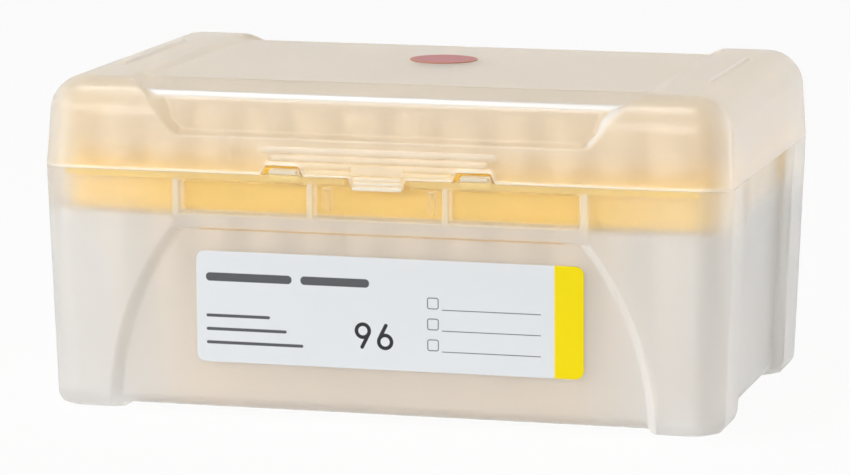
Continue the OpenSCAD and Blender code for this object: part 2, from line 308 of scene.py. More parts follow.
def mesh_piece(name, part, material, body, replaced=(), crease=80, milk=None):
    """A mesh object from a part in millimetres, riding on a body and standing for the CAD nodes in replaced.

    A part is an array of points and a list of face arrays, one for each number of corners. Faces that meet at
    more than crease degrees keep a crisp edge. milk, where given, is one number for each point.
    """
    points, faces = part
    corners = np.concatenate([array.ravel() for array in faces])
    sizes = np.concatenate([np.full(len(array), array.shape[1]) for array in faces])
    mesh = bpy.data.meshes.new(name)
    mesh.vertices.add(len(points))
    mesh.vertices.foreach_set("co", (points * MM).ravel())
    mesh.loops.add(len(corners))
    mesh.loops.foreach_set("vertex_index", corners.astype(np.int32))
    mesh.polygons.add(len(sizes))
    mesh.polygons.foreach_set("loop_start", (np.cumsum(sizes) - sizes).astype(np.int32))
    mesh.polygons.foreach_set("use_smooth", np.ones(len(sizes), bool))
    mesh.update(calc_edges=True)
    if mesh.validate():
        raise RuntimeError(name + " has faces that don't hold together")
    mesh.set_sharp_from_angle(angle=np.radians(crease))
    if milk is not None:
        mesh.attributes.new("milk", "FLOAT", "POINT").data.foreach_set("value", milk.astype(np.float32))
    piece = new_object(name, mesh)
    mesh.materials.append(material)
    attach(piece, body)
    if replaced:
        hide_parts(*replaced)
    return piece


def joined(*parts):
    """One part from several, each one's faces counted on from the points before it."""
    offsets = np.cumsum([0] + [len(points) for points, _ in parts])
    faces = [array + start for (_, arrays), start in zip(parts, offsets) for array in arrays]
    return np.concatenate([points for points, _ in parts]), faces


def wall_of(grid, outer, inner, inwards):
    """Closed wall between two placings of one grid, with a ring of faces round the rim.

    inwards is True where the closed end lies below the rim, which turns every face round.
    """
    n = len(outer)
    ring = ring_faces(grid.rim[None], grid.rim[None] + n)
    faces = np.concatenate([grid.quads, grid.quads[:, ::-1] + n, ring[:, ::-1]])
    return np.concatenate([outer, inner]), [faces[:, ::-1] if inwards else faces]


def carried(line, marks, places):
    """Where grid lines lie: each mark goes to its place, and lines between two marks keep their shares."""
    size = np.abs(line)
    out = size + 0 * places[0]
    for a, b, from_place, to_place in zip(marks, marks[1:], places, places[1:]):
        share = (size - a) / (b - a)
        out = np.where((size >= a) & (size <= b), blend(share, from_place, to_place), out)
    return np.sign(line) * out


# ---- base

BASE_DRAFT = 0.033  # lean of the walls, mm for each mm of height
BASE_EDGE_R = 3.0
PANEL_TOP = 33.75
PANEL_R = 53.9  # radius of the lower panels' curved ends
PANEL_CX = 4.6  # how far past the middle an end's centre lies
PANEL_SIDE = 2.0  # run of the panels' curved ends
BAY_BOTTOM = 36.0
BAY_TOP = 42.2
BAY_EDGE = 35.5  # outer ends of the outer bays
BAY_RIB_X = 12.1  # middle of the ribs between the bays
BAY_RIB = 0.45  # half the width of a rib's face
BAY_RUN = 0.6  # run of a bay's upper and lower edge
SOFT_RUN = 0.45  # run of a steep soft step
HOOK_X = 9.4  # middle of the small arched ribs in the middle bay
HOOK_HALF = 0.7  # half the width of an arch
HOOK_Z = (37.6, 41.5)
LATCH_HALF = 5.8  # half width of the space behind the latch tab
END_HALF = 22.0  # half width of the recess in each end
FOOT_X = 46.9  # where the feet begin along X
FOOT_Y = 22.7  # and along Y
FOOT_RUN = 1.2
RIM_BEVEL = 0.06
BASE_KEPT = 50.3  # up to here the walls' lean leaves a line where it is
SIDE_SHIFT = 0.4  # how far out an inner relief's side lies, for each mm of wall
FOOT_ZONE = 6  # the raised floor draws on the wall up to this height
PLAIN_STEP = (33.95, 35.6)  # above it no grid line follows the panels' curved ends
INNER_STEP = (34.6, 35.2)  # from the panel to the bays, on the inner face
INNER_BAY_END = (36.5, 37.2)  # outer end of the one bay on the inner face
BAR_END = (36.6, 37.2)  # and of the bar over the panel
END_POST = (35.9, 36.9)  # the upright post outside the outer bays
LATCH_FOOT = (37, 37.4)  # lower edge of the space behind the latch tab
HOOK_H = 0.5  # how far the small arches stand out

ARC_GAPS = np.linspace(2.3, -0.9, 14)  # grid lines across a curved end, inwards from its outline
BAY_EDGE_LINES = np.array([34.9, 35.2, 35.35, 35.5, 35.65, 35.8, 35.95, 36.2, 36.5, 36.7, 36.9, 37.1, 37.3,
                           37.7])


def bevel_lines(end, towards):
    """Grid lines of the small bevel at a rim, from its end into the wall."""
    return end + towards * RIM_BEVEL * np.array([0, 0.25, 0.6, 1, 1.8])


def base_grid():
    """The grid of the base: its lines follow the panels' curved ends, the bays, their ribs and the feet."""
    rib = step_lines(BAY_RIB_X - BAY_RIB - SOFT_RUN, BAY_RIB_X - BAY_RIB)
    x_marks = both_signs(np.concatenate([
        [0], step_lines(LATCH_HALF - 0.15, LATCH_HALF + 0.15),
        HOOK_X + both_signs(HOOK_HALF + np.array([-0.4, -0.25, -0.1, 0.05, 0.2])), rib, 2 * BAY_RIB_X - rib,
        BAY_EDGE_LINES, [BASE_KEPT], [HALF_W - CORNER_R]]))
    y_marks = both_signs(np.concatenate([[0], np.linspace(END_HALF - 0.6, FOOT_Y + FOOT_RUN + 0.2, 14),
                                         [HALF_D - CORNER_R]]))
    z_marks = np.concatenate([
        bevel_lines(RIM_Z, -1), step_lines(BAY_TOP, BAY_TOP - BAY_RUN),
        step_lines(BAY_BOTTOM, BAY_BOTTOM + BAY_RUN),
        step_lines(PANEL_TOP, PANEL_TOP - 0.5), step_lines(*INNER_STEP[::-1]), [37.2, 37.4, 37.6, 37.8],
        HOOK_Z[1] + np.array([-0.7, -0.5, -0.35, -0.15, 0, 0.15]), [FOOT_ZONE, 5, 4, BASE_EDGE_R]])
    return BoxGrid(grid_lines([x_marks], 2.8), grid_lines([y_marks], 3.4), grid_lines([z_marks], 3.2)[::-1])


def base_relief(x, z, front, grow):
    """Depth of the front and back relief at (x, z), for the outer face, or for the inner one where grow > 0.

    The lower panel lies inside two circles, with a soft side that runs PANEL_SIDE inwards from them. In front
    come above it a bar at full height, three bays between ribs, and the rim.
    """
    size = np.abs(x)
    panel, bay = in_mm("panel_depth"), in_mm("bay_depth")
    inwards = PANEL_R + SIDE_SHIFT * grow - np.hypot(size + PANEL_CX, z)
    side = smooth(inwards, 0, PANEL_SIDE)
    if grow > 0:
        upper = smooth(z, *INNER_STEP)
        return blend(upper, panel * side, front * bay * (1 - smooth(size, *INNER_BAY_END)))
    lower = panel * side * (1 - smooth(z, PANEL_TOP - 0.5, PANEL_TOP))
    ribs = between(size, BAY_RIB_X - BAY_RIB, BAY_RIB_X + BAY_RIB, SOFT_RUN)
    height = between(z, BAY_BOTTOM + BAY_RUN, BAY_TOP - BAY_RUN, BAY_RUN)
    bays = bay * height * (1 - smooth(size, BAY_EDGE - 0.3, BAY_EDGE + 0.4)) * (1 - ribs)
    hook = HOOK_H * hook_arch(size, z)
    latch = bay * (1 - smooth(size, LATCH_HALF - 0.15, LATCH_HALF + 0.15)) * smooth(z, *LATCH_FOOT)
    return lower + front * np.maximum(bays - hook, latch - lower)


def hook_arch(size, z):
    """1 on the small arches in the middle bay: inside their box, but not inside one 0.3 mm smaller."""
    away = np.abs(size - HOOK_X)
    outer = (1 - smooth(away, HOOK_HALF - 0.1, HOOK_HALF + 0.1)) * between(z, *HOOK_Z, 0.15)
    inner = 1 - smooth(away, HOOK_HALF - 0.4, HOOK_HALF - 0.25)
    inner = inner * (1 - smooth(z, HOOK_Z[1] - 0.6, HOOK_Z[1] - 0.35))
    return outer * (1 - inner)


def base_milk(grid, points):
    """How milky each point of the base's face is, from 0 to 1: the largest of the shares of its thick places
    and of a painted highlight.

    The thick places lie in front: the ribs and posts of the bays, the bar under them and the arches. Under
    the bar, a pale band along the panel's curved right end is a painted highlight on the panel's side step.
    """
    x, z = points[:, 0], points[:, 2]
    size = np.abs(x)
    inwards = PANEL_R - np.hypot(size + PANEL_CX, z)
    # Painted highlight: a pale band on the step of the panel's right curved end only.
    arc = (x > 0) * between(inwards, 0.3, 1.7, 0.35) * (1 - smooth(z, PANEL_TOP - 0.4, PANEL_TOP + 0.2))
    ribs = between(size, BAY_RIB_X - BAY_RIB, BAY_RIB_X + BAY_RIB, 0.3)
    ribs = np.maximum(ribs, between(size, *END_POST, 0.3)) * between(z, BAY_BOTTOM, BAY_TOP, 0.4)
    bar = between(z, PANEL_TOP + 0.2, BAY_BOTTOM + 0.2, 0.4) * (1 - smooth(size, *BAR_END))
    arch = hook_arch(size, z)
    pale = np.max([0.6 * ribs, 0.38 * bar, 0.45 * arch, 0.85 * arc], axis=0)
    return np.where(grid.front, pale, 0)


def base_points(grid, grow):
    """Vertices of the base's outer face, or of the inner one where grow is the wall's thickness.

    A leaning box with round corners and a round lower edge, with the relief pressed into its walls and its
    floor raised between the feet.
    """
    lowest = BASE_EDGE_R + (FOOT_H if grow > 0 else 0)
    lifted = lowest + (grid.z - BASE_EDGE_R) * (FOOT_ZONE - lowest) / (FOOT_ZONE - BASE_EDGE_R)
    wall_z = np.where(grid.z < FOOT_ZONE, lifted, grid.z)
    fall = BASE_DRAFT * (RIM_Z - wall_z)
    core_x, core_y = HALF_W - CORNER_R - fall, HALF_D - CORNER_R - fall
    bevel = RIM_BEVEL * (1 - np.clip((RIM_Z - wall_z) / RIM_BEVEL, 0, 1)) ** 2
    corner = CORNER_R - grow + (bevel if grow > 0 else -bevel)
    out_x, out_y, rise = grid.rounded(corner, BASE_EDGE_R - grow)
    z = wall_z - rise

    arc = [np.sqrt(np.maximum((PANEL_R + SIDE_SHIFT * grow - gap) ** 2 - z ** 2, 1)) - PANEL_CX
           for gap in ARC_GAPS]
    upper = smooth(z, *PLAIN_STEP)
    marks = np.concatenate([[0], BAY_EDGE_LINES, [BASE_KEPT]])
    places = [0 * z] + [blend(upper, a, line + 0 * z) for a, line in zip(arc, BAY_EDGE_LINES)]
    x = carried(grid.x, marks, places + [BASE_KEPT + 0.1 + 0 * z])
    x = squeeze(x, BASE_KEPT + 0.1, core_x, HALF_W - CORNER_R) + out_x
    y = squeeze(grid.y, FOOT_Y + FOOT_RUN + 0.4, core_y, HALF_D - CORNER_R) + out_y

    across = np.maximum(np.abs(grid.x_over), np.abs(grid.y_over))
    y_side, x_side = np.sign(grid.y_over), np.sign(grid.x_over)
    facing = grid.front | grid.back
    y = np.where(facing, y - y_side * across * base_relief(x, np.maximum(z, 0.5), grid.front, grow), y)
    recess = in_mm("end_depth") * (
        1 - smooth(np.abs(y), END_HALF - 0.3 + SIDE_SHIFT * grow, END_HALF + 0.5 + SIDE_SHIFT * grow))
    x = np.where(grid.ends, x - x_side * across * recess, x)
    if grow == 0:
        foot = smooth(np.abs(x), FOOT_X, FOOT_X + FOOT_RUN) * smooth(np.abs(y), FOOT_Y, FOOT_Y + FOOT_RUN)
        z = z + FOOT_H * (1 - foot) * np.clip(1 - z / FOOT_ZONE, 0, 1)
    return np.stack([x, y + MID_Y, z], -1)


# ---- lid

STACK_H = 0.4  # height of the stacking ribs on the lid's top
LID_TOP = LID_HIGHEST - STACK_H
LID_RIM = RIM_Z + 0.03  # its lower edge all but meets the base's rim
LID_EDGE_R = 6.7
LID_LEAN = 0.05
EDGE_Z = LID_TOP - LID_EDGE_R  # where the round upper edge begins
POCKET_BOTTOM = 49.7
POCKET_LIP = 1.0  # rise of the pocket's sloping lower lip
POCKET_HALF = 37.1  # half width of the pocket at its lower edge
POCKET_RUN = 2.1  # run of its slanted sides
CHAMFER = 0.57  # half the length of the slanting strip above the pocket
CHANNEL_Y = 28.6  # the channel is level up to here
BAND_SLOPE = 0.145  # fall of the band between the channel and the strip
CHANNEL_HALF = 44.0
CHANNEL_RUN = 3.5
CHANNEL_WALL = 1.01  # the channel's floor upright, for each mm of wall
BEAD = (0.1, 0.22)  # height and reach of the bead at the channel's edge
STRIP_Z = 56.3  # height at which the strip meets the leaning wall
STRIP_SHRINK = 0.27  # how much shorter the strip is inside, for each mm of wall
STRIP_BEND = 0.12  # how far the two bends beside the strip are rounded
DIAGONAL = 0.7071  # sine and cosine of the strip's 45 degrees
HALF_EDGE = 5  # on the way from the wall to the top, each half of the round edge counts as this
# a pocket's side at its lip, at the wall's end, half way over the edge and on the top
SIDE_OUTER = [POCKET_HALF, 39.7, 43.4, CHANNEL_HALF + CHANNEL_RUN]
SIDE_INNER = [POCKET_HALF - POCKET_RUN, 37.4, 41.2, CHANNEL_HALF]
LIP_SHIFT = 0.65  # how far lower the lip lies inside, for each mm of wall
GRIP_END = 22  # grid lines nearer the middle stay where they are
SIDE_END = 51.5  # and so do those past this
LID_KEPT = 54.4  # up to here the walls' lean leaves a line where it is
GRIP_H = 0.28  # how far the grip's bars stand out
RIDGE_H = 0.2  # and the latch tab's ridges
RIDGE_PITCH = 0.8
GRIP = [  # half width, lower and upper line of each bar
    (13.4, 43.75, 44.74), (18.1, 44.74, 45.94), (19.5, 45.94, 47.21), (21.3, 47.21, 48.58)]
GRIP_FACE = (0.3, 0.3, 0.22)  # where a bar's face begins and ends in it, and its soft run
GRIP_MILK = (0.24, 0.22, 0.1)  # and the same of the milky part
NOTCH_X = (13.1, 21.1)
NOTCH_RUN = 1.1
NOTCH_TOP = 45.2
TAB_HALF = 5.2
TAB_RUN = 1
TAB_BOTTOM = 41.35
EDGE_ZONE = 45.94  # grid lines below it follow the lid's lower edge
STACK_X = (-53.0, 53.7)
STACK_Y = (-18.0, 17.3)
STACK_RUN = np.array([-0.6, -0.4, -0.2, 0.2, 0.4, 0.6])

SIDE_LINES = POCKET_HALF + np.linspace(-POCKET_RUN - 0.35, 0.35, 12)


def lid_grid():
    """The grid of the lid: its lines follow the pocket's slanted sides, the grip, the notches and the tab."""
    grip_ends = np.concatenate([bar[0] + np.array([-1, -0.5, -0.1, 0.3]) for bar in GRIP])
    x_marks = both_signs(np.concatenate([
        [0], step_lines(TAB_HALF - TAB_RUN, TAB_HALF), step_lines(NOTCH_X[0], NOTCH_X[0] + NOTCH_RUN),
        step_lines(NOTCH_X[1] - NOTCH_RUN, NOTCH_X[1]), grip_ends, [21.6, GRIP_END], SIDE_LINES,
        STACK_X[1] + STACK_RUN, -STACK_X[0] + STACK_RUN, [LID_KEPT, HALF_W - CORNER_R]]))
    crease = CHANNEL_Y + np.array([-0.8, -0.45, -0.3, -0.15, 0, 0.15, 0.3, 0.45, 0.8])
    y_marks = np.concatenate([
        both_signs(np.concatenate([[0], crease, [HALF_D - CORNER_R]])),
        step_lines(STACK_Y[0] - 0.2, STACK_Y[0]), step_lines(STACK_Y[1], STACK_Y[1] + 0.2)])
    edge = np.array([0, 0.07, 0.14, 0.22, 0.32])
    bars = np.concatenate([np.concatenate([bar[1] + edge, bar[2] - edge]) for bar in GRIP])
    lip = np.linspace(-1.0, POCKET_LIP + 0.2, 13)
    z_marks = np.concatenate([bevel_lines(LID_RIM, 1), LID_RIM + np.array([0.2, 0.28, 0.72, 0.8, 0.88]), bars,
                              POCKET_BOTTOM + lip, [EDGE_Z]])
    return BoxGrid(grid_lines([x_marks], 2.8), grid_lines([y_marks], 3.2), grid_lines([z_marks], 1.5))


def lid_edge(x, front):
    """Height of the lid's lower edge: in front, up over the catch notches and down round the latch tab."""
    size = np.abs(x)
    notch = smooth(size, NOTCH_X[0], NOTCH_X[0] + NOTCH_RUN)
    notch = notch * (1 - smooth(size, NOTCH_X[1] - NOTCH_RUN, NOTCH_X[1]))
    tab = 1 - smooth(size, TAB_HALF - TAB_RUN, TAB_HALF)
    return LID_RIM + front * (notch * (NOTCH_TOP - LID_RIM) - tab * (LID_RIM - TAB_BOTTOM))


def pocket_side(grid):
    """Where the inner and the outer line of a pocket's side lie, from the lip up over the edge to the top.

    The lines' places are given at four points of the way up and run straight between them. The way is the
    height on the wall, and grows by twice HALF_EDGE over the round edge.
    """
    way = np.where(grid.flat, 2 * HALF_EDGE, grid.z - EDGE_Z + HALF_EDGE * grid.z_over)
    way = np.where(grid.is_cap & ~grid.flat, 2 * HALF_EDGE - HALF_EDGE * np.abs(grid.y_over), way)
    knots = [POCKET_BOTTOM - EDGE_Z, 0, HALF_EDGE, 2 * HALF_EDGE]
    return np.interp(way, knots, SIDE_INNER), np.interp(way, knots, SIDE_OUTER)


def bent(q, radius):
    """0 before a bend and q after it, rounded near it: (q + sqrt(q^2 + radius^2)) / 2."""
    return (q + np.sqrt(q * q + radius * radius)) / 2


def channel_height(y, grow):
    """Height of the channel's floor: level, less BAND_SLOPE (q + sqrt(q^2 + r^2)) / 2 at q past CHANNEL_Y.

    On the outer face a fine bead follows the bend. Its height falls off as exp(-(q / reach)^2).
    """
    level = LID_TOP - in_mm("channel_depth")
    past = np.abs(y) - CHANNEL_Y
    bead = BEAD[0] * np.exp(-(past / BEAD[1]) ** 2) if grow == 0 else 0
    return level - BAND_SLOPE * bent(past, 0.15) - grow * CHANNEL_WALL + bead


def strip_place(grow):
    """The slanting strip above a pocket: its run, its lowest height and the pocket face's distance there."""
    pocket = in_mm("pocket_depth")
    strip = (CHAMFER - STRIP_SHRINK * grow) * np.sqrt(2)
    wall_y = HALF_D - LID_LEAN * (STRIP_Z - RIM_Z) - pocket - grow
    low_z = channel_height(wall_y - strip, grow) - strip
    return strip, low_z, HALF_D - LID_LEAN * (low_z - RIM_Z) - pocket - grow


def over_the_edge(grid, grow):
    """The cut-down profile from the pocket's face over the strip to the band, as distances and heights.

    Along it run three straight stretches, up the wall, along the strip and along the band, with the two bends
    between them rounded. A grid line's overhang gives how far along it lies from the strip's middle.
    """
    half = CHAMFER - STRIP_SHRINK * grow
    strip, low_z, wall_y = strip_place(grow)
    core_y = HALF_D - LID_LEAN * (EDGE_Z - RIM_Z) - LID_EDGE_R
    low_run, high_run = low_z - EDGE_Z, wall_y - strip - core_y
    shares = np.linspace(0, 1, QUARTER_LINES)
    near = half * np.array([1.0, 0.7, 0.35, 0.0])

    def along(over, run):
        stretch = np.array([run, 0.55 * run, 0.25 * run, 0.5, 0.2]) + half
        return np.interp(over, shares, np.concatenate([stretch, near]))

    over = np.where(grid.is_cap, np.abs(grid.y_over), grid.z_over)
    t = np.where(grid.is_cap, along(over, high_run), -along(over, low_run))
    before, after = bent(-t - half, STRIP_BEND), bent(t - half, STRIP_BEND)
    in_y = wall_y - strip / 2 - t * DIAGONAL + before * (LID_LEAN - DIAGONAL) - after * (1 - DIAGONAL)
    z = low_z + strip / 2 + t * DIAGONAL - before * (1 - DIAGONAL) + after * (BAND_SLOPE - DIAGONAL)
    return in_y, z


def pocket_share(grid):
    """1 between the slanted sides of the pockets and the channel, 0 outside them."""
    cut = 1 - smooth(np.abs(grid.x), POCKET_HALF - POCKET_RUN, POCKET_HALF)
    return np.where(grid.x_over == 0, cut, 0)


def stack_ribs(x, y):
    """1 on the two stacking ribs of the lid's top."""
    across = np.where(x > 0, np.abs(x - STACK_X[1]), np.abs(x - STACK_X[0]))
    return (1 - smooth(across, 0.4, 0.6)) * between(y, *STACK_Y, 0.2)


def lid_points(grid, grow):
    """Vertices of the lid's outer face, or of the inner one where grow is the wall's thickness.

    Two profiles are blended along X: a plain wall with a round upper edge, and one cut down by the pocket and
    the channel. The grip, the notches, the tab and the stacking ribs are added to them.
    """
    share = (grid.z - LID_RIM) / (EDGE_Z - LID_RIM)
    fall = LID_LEAN * (grid.z - RIM_Z)
    plan_r = blend(share, CORNER_R, LID_EDGE_R)
    core_x, core_y = HALF_W - fall - plan_r, HALF_D - fall - plan_r
    bevel = RIM_BEVEL * (1 - np.clip((grid.z - LID_RIM) / RIM_BEVEL, 0, 1)) ** 2
    corner = plan_r - grow + (bevel if grow > 0 else -bevel)
    out_x, out_y, rise = grid.rounded(corner, LID_EDGE_R - grow)

    inner, outer = pocket_side(grid)
    shift = SIDE_SHIFT * grow
    marks = [0, GRIP_END, SIDE_LINES[0], SIDE_LINES[-1], SIDE_END]
    reach = (SIDE_LINES[-1] - SIDE_LINES[0] - POCKET_RUN) / 2
    places = [0 * inner, GRIP_END + 0 * inner, inner - reach + shift, outer + reach + shift,
              SIDE_END + 0 * inner]
    x = carried(grid.x, marks, places)
    x = squeeze(x, LID_KEPT, core_x, HALF_W - CORNER_R) + out_x
    y = squeeze(grid.y, CHANNEL_Y + 1.5, core_y, HALF_D - CORNER_R) + out_y
    z = grid.z + rise

    cut = pocket_share(grid)
    walls = (grid.front | grid.back) & (grid.z_over == 0) & ~grid.is_cap
    low = POCKET_BOTTOM - LIP_SHIFT * grow
    pocket = in_mm("pocket_depth") * smooth(z, low, low + POCKET_LIP)
    y = np.where(walls, y - np.sign(grid.y_over) * cut * pocket, y)
    in_y, cut_z = over_the_edge(grid, grow)
    upper = (grid.front | grid.back) & ~walls
    y = np.where(upper, blend(cut, y, np.sign(grid.y_over) * in_y), y)
    z = np.where(upper, blend(cut, z, cut_z), z)
    z = np.where(grid.flat, blend(cut, z, channel_height(y, grow)), z)

    front = grid.front & ~grid.is_cap
    edge_z = lid_edge(x, front)
    zone = z < EDGE_ZONE
    z = np.where(zone, edge_z + (z - LID_RIM) * (EDGE_ZONE - edge_z) / (EDGE_ZONE - LID_RIM), z)
    if grow == 0:
        y = np.where(front, y - GRIP_H * grip_bars(x, z, *GRIP_FACE) - RIDGE_H * tab_ridges(x, z), y)
        z = np.where(grid.flat, z + STACK_H * stack_ribs(x, y), z)
    return np.stack([x, y + MID_Y, z], -1)


def grip_bars(x, z, above, below, run):
    """1 on the level bars of the grip and 0 in the grooves between them, with soft edges of a given run.

    A bar is full from above its lower line to below its upper one, and thins out towards its ends.
    """
    return sum(between(z, low + above, high - below, run) * (1 - smooth(np.abs(x), half - 1.0, half + 0.3))
               for half, low, high in GRIP)


def tab_ridges(x, z):
    """The finger ridges of the latch tab: (1 - cos(2 pi h / pitch)) / 2 at height h over its lower end."""
    wave = 0.5 - 0.5 * np.cos((z - TAB_BOTTOM) * 2 * np.pi / RIDGE_PITCH)
    return wave * (1 - smooth(np.abs(x), TAB_HALF - 1.3, TAB_HALF - 0.9)) * (z < TAB_BOTTOM + 2.4)


def lid_milk(grid, points):
    """How milky each point of the lid's face is, from 0 to 1: the largest of the shares of its thick places
    and of its painted highlights.

    The thick places are the grip's bars, the tab and the stacking ribs. Its lower edge, the slanting strips
    and the pockets' right sides are painted highlights, made milky white.
    """
    x, z = points[:, 0], points[:, 2]
    front = grid.front & ~grid.is_cap
    cut = pocket_share(grid)
    run, low_z, _ = strip_place(0)
    # Painted highlight: the slanting strips, made nearly fully milky white.
    strips = (grid.front | grid.back) * smooth(cut, 0.6, 0.95) * between(z, low_z, low_z + run, 0.1)
    # Painted highlight: the slanted side on the pockets' right only.
    sides = front * (x > 0) * between(cut, 0.2, 0.6, 0.15)
    sides = sides * smooth(z, POCKET_BOTTOM + 0.2, POCKET_BOTTOM + 0.8)
    stack = grid.flat * stack_ribs(x, points[:, 1] - MID_Y)
    # Painted highlight: a thin pale line along the lower edge.
    edge = 1 - smooth(z - lid_edge(x, front), 0.25, 0.4)
    tab = front * (1 - smooth(np.abs(x), TAB_HALF - 0.4, TAB_HALF)) * (z < LID_RIM + 0.3)
    bars = front * grip_bars(x, z, *GRIP_MILK)
    tab = (0.25 + 0.6 * tab_ridges(x, z)) * tab
    return np.max([0.75 * edge, 0.45 * bars, tab, 0.95 * strips, 0.9 * sides, 0.6 * stack], axis=0)


# ---- turned and cut pieces

def turned(profile, segments, swell=None):
    """Points and faces of a profile turned about Z: (r, z) goes to (r cos a, r sin a, z) at each angle a.

    A profile that ends on the axis is closed there by one point and a fan. Another one is joined to its own
    start, so that it shuts a hollow body. swell gives extra radius for each row and angle.
    """
    profile = np.asarray(profile, float)
    capped = profile[0, 0] == 0
    rows = profile[1:-1] if capped else profile
    angle = np.arange(segments) * 2 * np.pi / segments
    radius = rows[:, :1] + (0 if swell is None else swell(rows[:, 1:], angle))
    points = np.stack([radius * np.cos(angle), radius * np.sin(angle), rows[:, 1:] + 0 * angle], -1)
    ids = np.arange(len(rows) * segments).reshape(len(rows), segments)
    first, second = (ids[:-1], ids[1:]) if capped else (ids, np.roll(ids, -1, 0))
    faces, points = [ring_faces(first, second)], points.reshape(-1, 3)
    if capped:
        low = np.full(segments, len(points))
        points = np.concatenate([points, [[0, 0, profile[0, 1]], [0, 0, profile[-1, 1]]]])
        faces.append(np.stack([low, np.roll(ids[0], -1), ids[0]], -1))
        faces.append(np.stack([low + 1, ids[-1], np.roll(ids[-1], -1)], -1))
    return points, faces


def along_x(part, centre):
    """A turned part laid down, with its axis along X through centre."""
    points, faces = part
    return np.stack([points[:, 2], points[:, 0], points[:, 1]], -1) + centre, faces


def arc_points(centre, radius, start, end, count):
    """Points of an arc, angles in degrees."""
    angle = np.radians(np.linspace(start, end, count))
    return np.stack([centre[0] + radius * np.cos(angle), centre[1] + radius * np.sin(angle)], -1)


def rounded_outline(width, height, radius, count=7):
    """Counter-clockwise outline of a rectangle with round corners, centred on 0."""
    x, y = width / 2 - radius, height / 2 - radius
    corners = [((x, y), 0), ((-x, y), 90), ((-x, -y), 180), ((x, -y), 270)]
    return np.concatenate([arc_points(c, radius, a, a + 90, count) for c, a in corners])


def cut_sheet(outline, start, end, bevel):
    """Points (u, v, w) and faces of an outline carried from w = start to end, with both edges rounded.

    Near each end the outline is drawn in along its corners' normals by bevel (1 - sin a) as w goes on by
    bevel (1 - cos a).
    """
    before, after = np.roll(outline, 1, 0), np.roll(outline, -1, 0)
    tangent = after - before
    normal = np.stack([tangent[:, 1], -tangent[:, 0]], -1) / np.linalg.norm(tangent, axis=1)[:, None]
    turn = np.radians(np.linspace(0, 90, 4))
    inset = np.concatenate([[2.5 * bevel], bevel * (1 - np.sin(turn))])
    rise = np.concatenate([[0], bevel * (1 - np.cos(turn))])
    inset, place = np.concatenate([inset, inset[::-1]]), np.concatenate([start + rise, end - rise[::-1]])
    rings = outline[None] - inset[:, None, None] * normal[None]
    points = np.concatenate([rings, np.broadcast_to(place[:, None, None], rings.shape[:2] + (1,))], -1)
    count = len(outline)
    ids = np.arange(len(place) * count).reshape(len(place), count)
    return points.reshape(-1, 3), [ring_faces(ids[:-1], ids[1:]), ids[:1, ::-1], ids[-1:]]


def across_x(part):
    """A cut sheet whose outline lies in Y and Z, with its thickness along X."""
    points, faces = part
    return points[:, [2, 0, 1]], faces


def upright_y(part):
    """A cut sheet whose outline lies in X and Z, with its thickness along Y."""
    points, faces = part
    return points[:, [0, 2, 1]] * (1, -1, 1), faces


def moved(part, offset):
    """A part, shifted."""
    return part[0] + np.asarray(offset), part[1]


# ---- hinges, catches and ribs

KNUCKLE_R = 1.6  # outside of the ears and eyes
PIN_R = 0.9
BORE_R = 0.95
EYE_HALF = 4.0  # half an eye's width
EAR_T = 2.0
EAR_GAP = 0.1  # between an ear and its eye
EAR_TOP = 0.06  # the ears' arms end this far under the hinge axis
PIN_GRIP = 0.5  # how far a pin reaches into each ear
PIN_BEVEL = 0.15
EYE_BEVEL = 0.2
HINGE_X = 30.0
RING_SEGMENTS = 40
RIB_HALF = 0.6  # half the thickness of the tray's ribs and the catches
RIB_BEVEL = 0.15
RIB_FOOT = 2.4  # lower end of the tray's ribs
RIB_X = (-30.6, -10.6, 10.6, 30.6)  # ribs on the front wall
RIB_Y = (-14, 14)  # and on the end walls
CATCH_X = 17.1


def base_hinge(x):
    """Two ears on the back wall with a pin between them, round the hinge axis."""
    wall_y = MID_Y + HALF_D - 1
    foot = np.array([[wall_y, HINGE[2] - EAR_TOP], [wall_y, HINGE[2] - KNUCKLE_R]])
    circle = arc_points(HINGE[1:], KNUCKLE_R, -90, 182, RING_SEGMENTS)
    outline = np.concatenate([circle, foot])
    inner = EYE_HALF + EAR_GAP
    ears = [across_x(cut_sheet(outline, side, side + EAR_T, EYE_BEVEL))
            for side in (x - inner - EAR_T, x + inner)]
    end = inner + PIN_GRIP
    pin = [(0, -end), (PIN_R - PIN_BEVEL, -end), (PIN_R, -end + PIN_BEVEL), (PIN_R, end - PIN_BEVEL),
           (PIN_R - PIN_BEVEL, end), (0, end)]
    return ears + [along_x(turned(pin, 24), (x, HINGE[1], HINGE[2]))]


def lid_eye(x):
    """One eye of the lid round the pin, on an arm from the back wall."""
    half, bevel = EYE_HALF, EYE_BEVEL
    ring = [(BORE_R, -half + bevel), (BORE_R + bevel, -half),
            (KNUCKLE_R - bevel, -half), (KNUCKLE_R, -half + bevel),
            (KNUCKLE_R, half - bevel), (KNUCKLE_R - bevel, half),
            (BORE_R + bevel, half), (BORE_R, half - bevel)]
    wall_y = MID_Y + HALF_D - 0.7
    arm_top = HINGE[2] + KNUCKLE_R
    arm = np.array([[wall_y, HINGE[2] + 0.2], [HINGE[1] - 1.2, HINGE[2] + 0.2],
                    [HINGE[1] - 0.9, HINGE[2] + 1.1], [HINGE[1], arm_top - 0.25],
                    [HINGE[1], arm_top], [wall_y, arm_top]])
    return [along_x(turned(ring, RING_SEGMENTS), (x, HINGE[1], HINGE[2])),
            across_x(cut_sheet(arm, x - half, x + half, 0.1))]


def rib_outline(half, near, far, side):
    """Side view of a rib on a leaning wall: between two depths behind its face, up to the tray."""
    low, high = RIB_FOOT, TRAY_LOW[2]
    low_half, high_half = half - BASE_DRAFT * (RIM_Z - low), half - BASE_DRAFT * (RIM_Z - high)
    outline = np.array([[low_half - near, low], [low_half - far, low],
                        [high_half - far, high], [high_half - near, high]])
    return (outline * (side, 1))[::side]


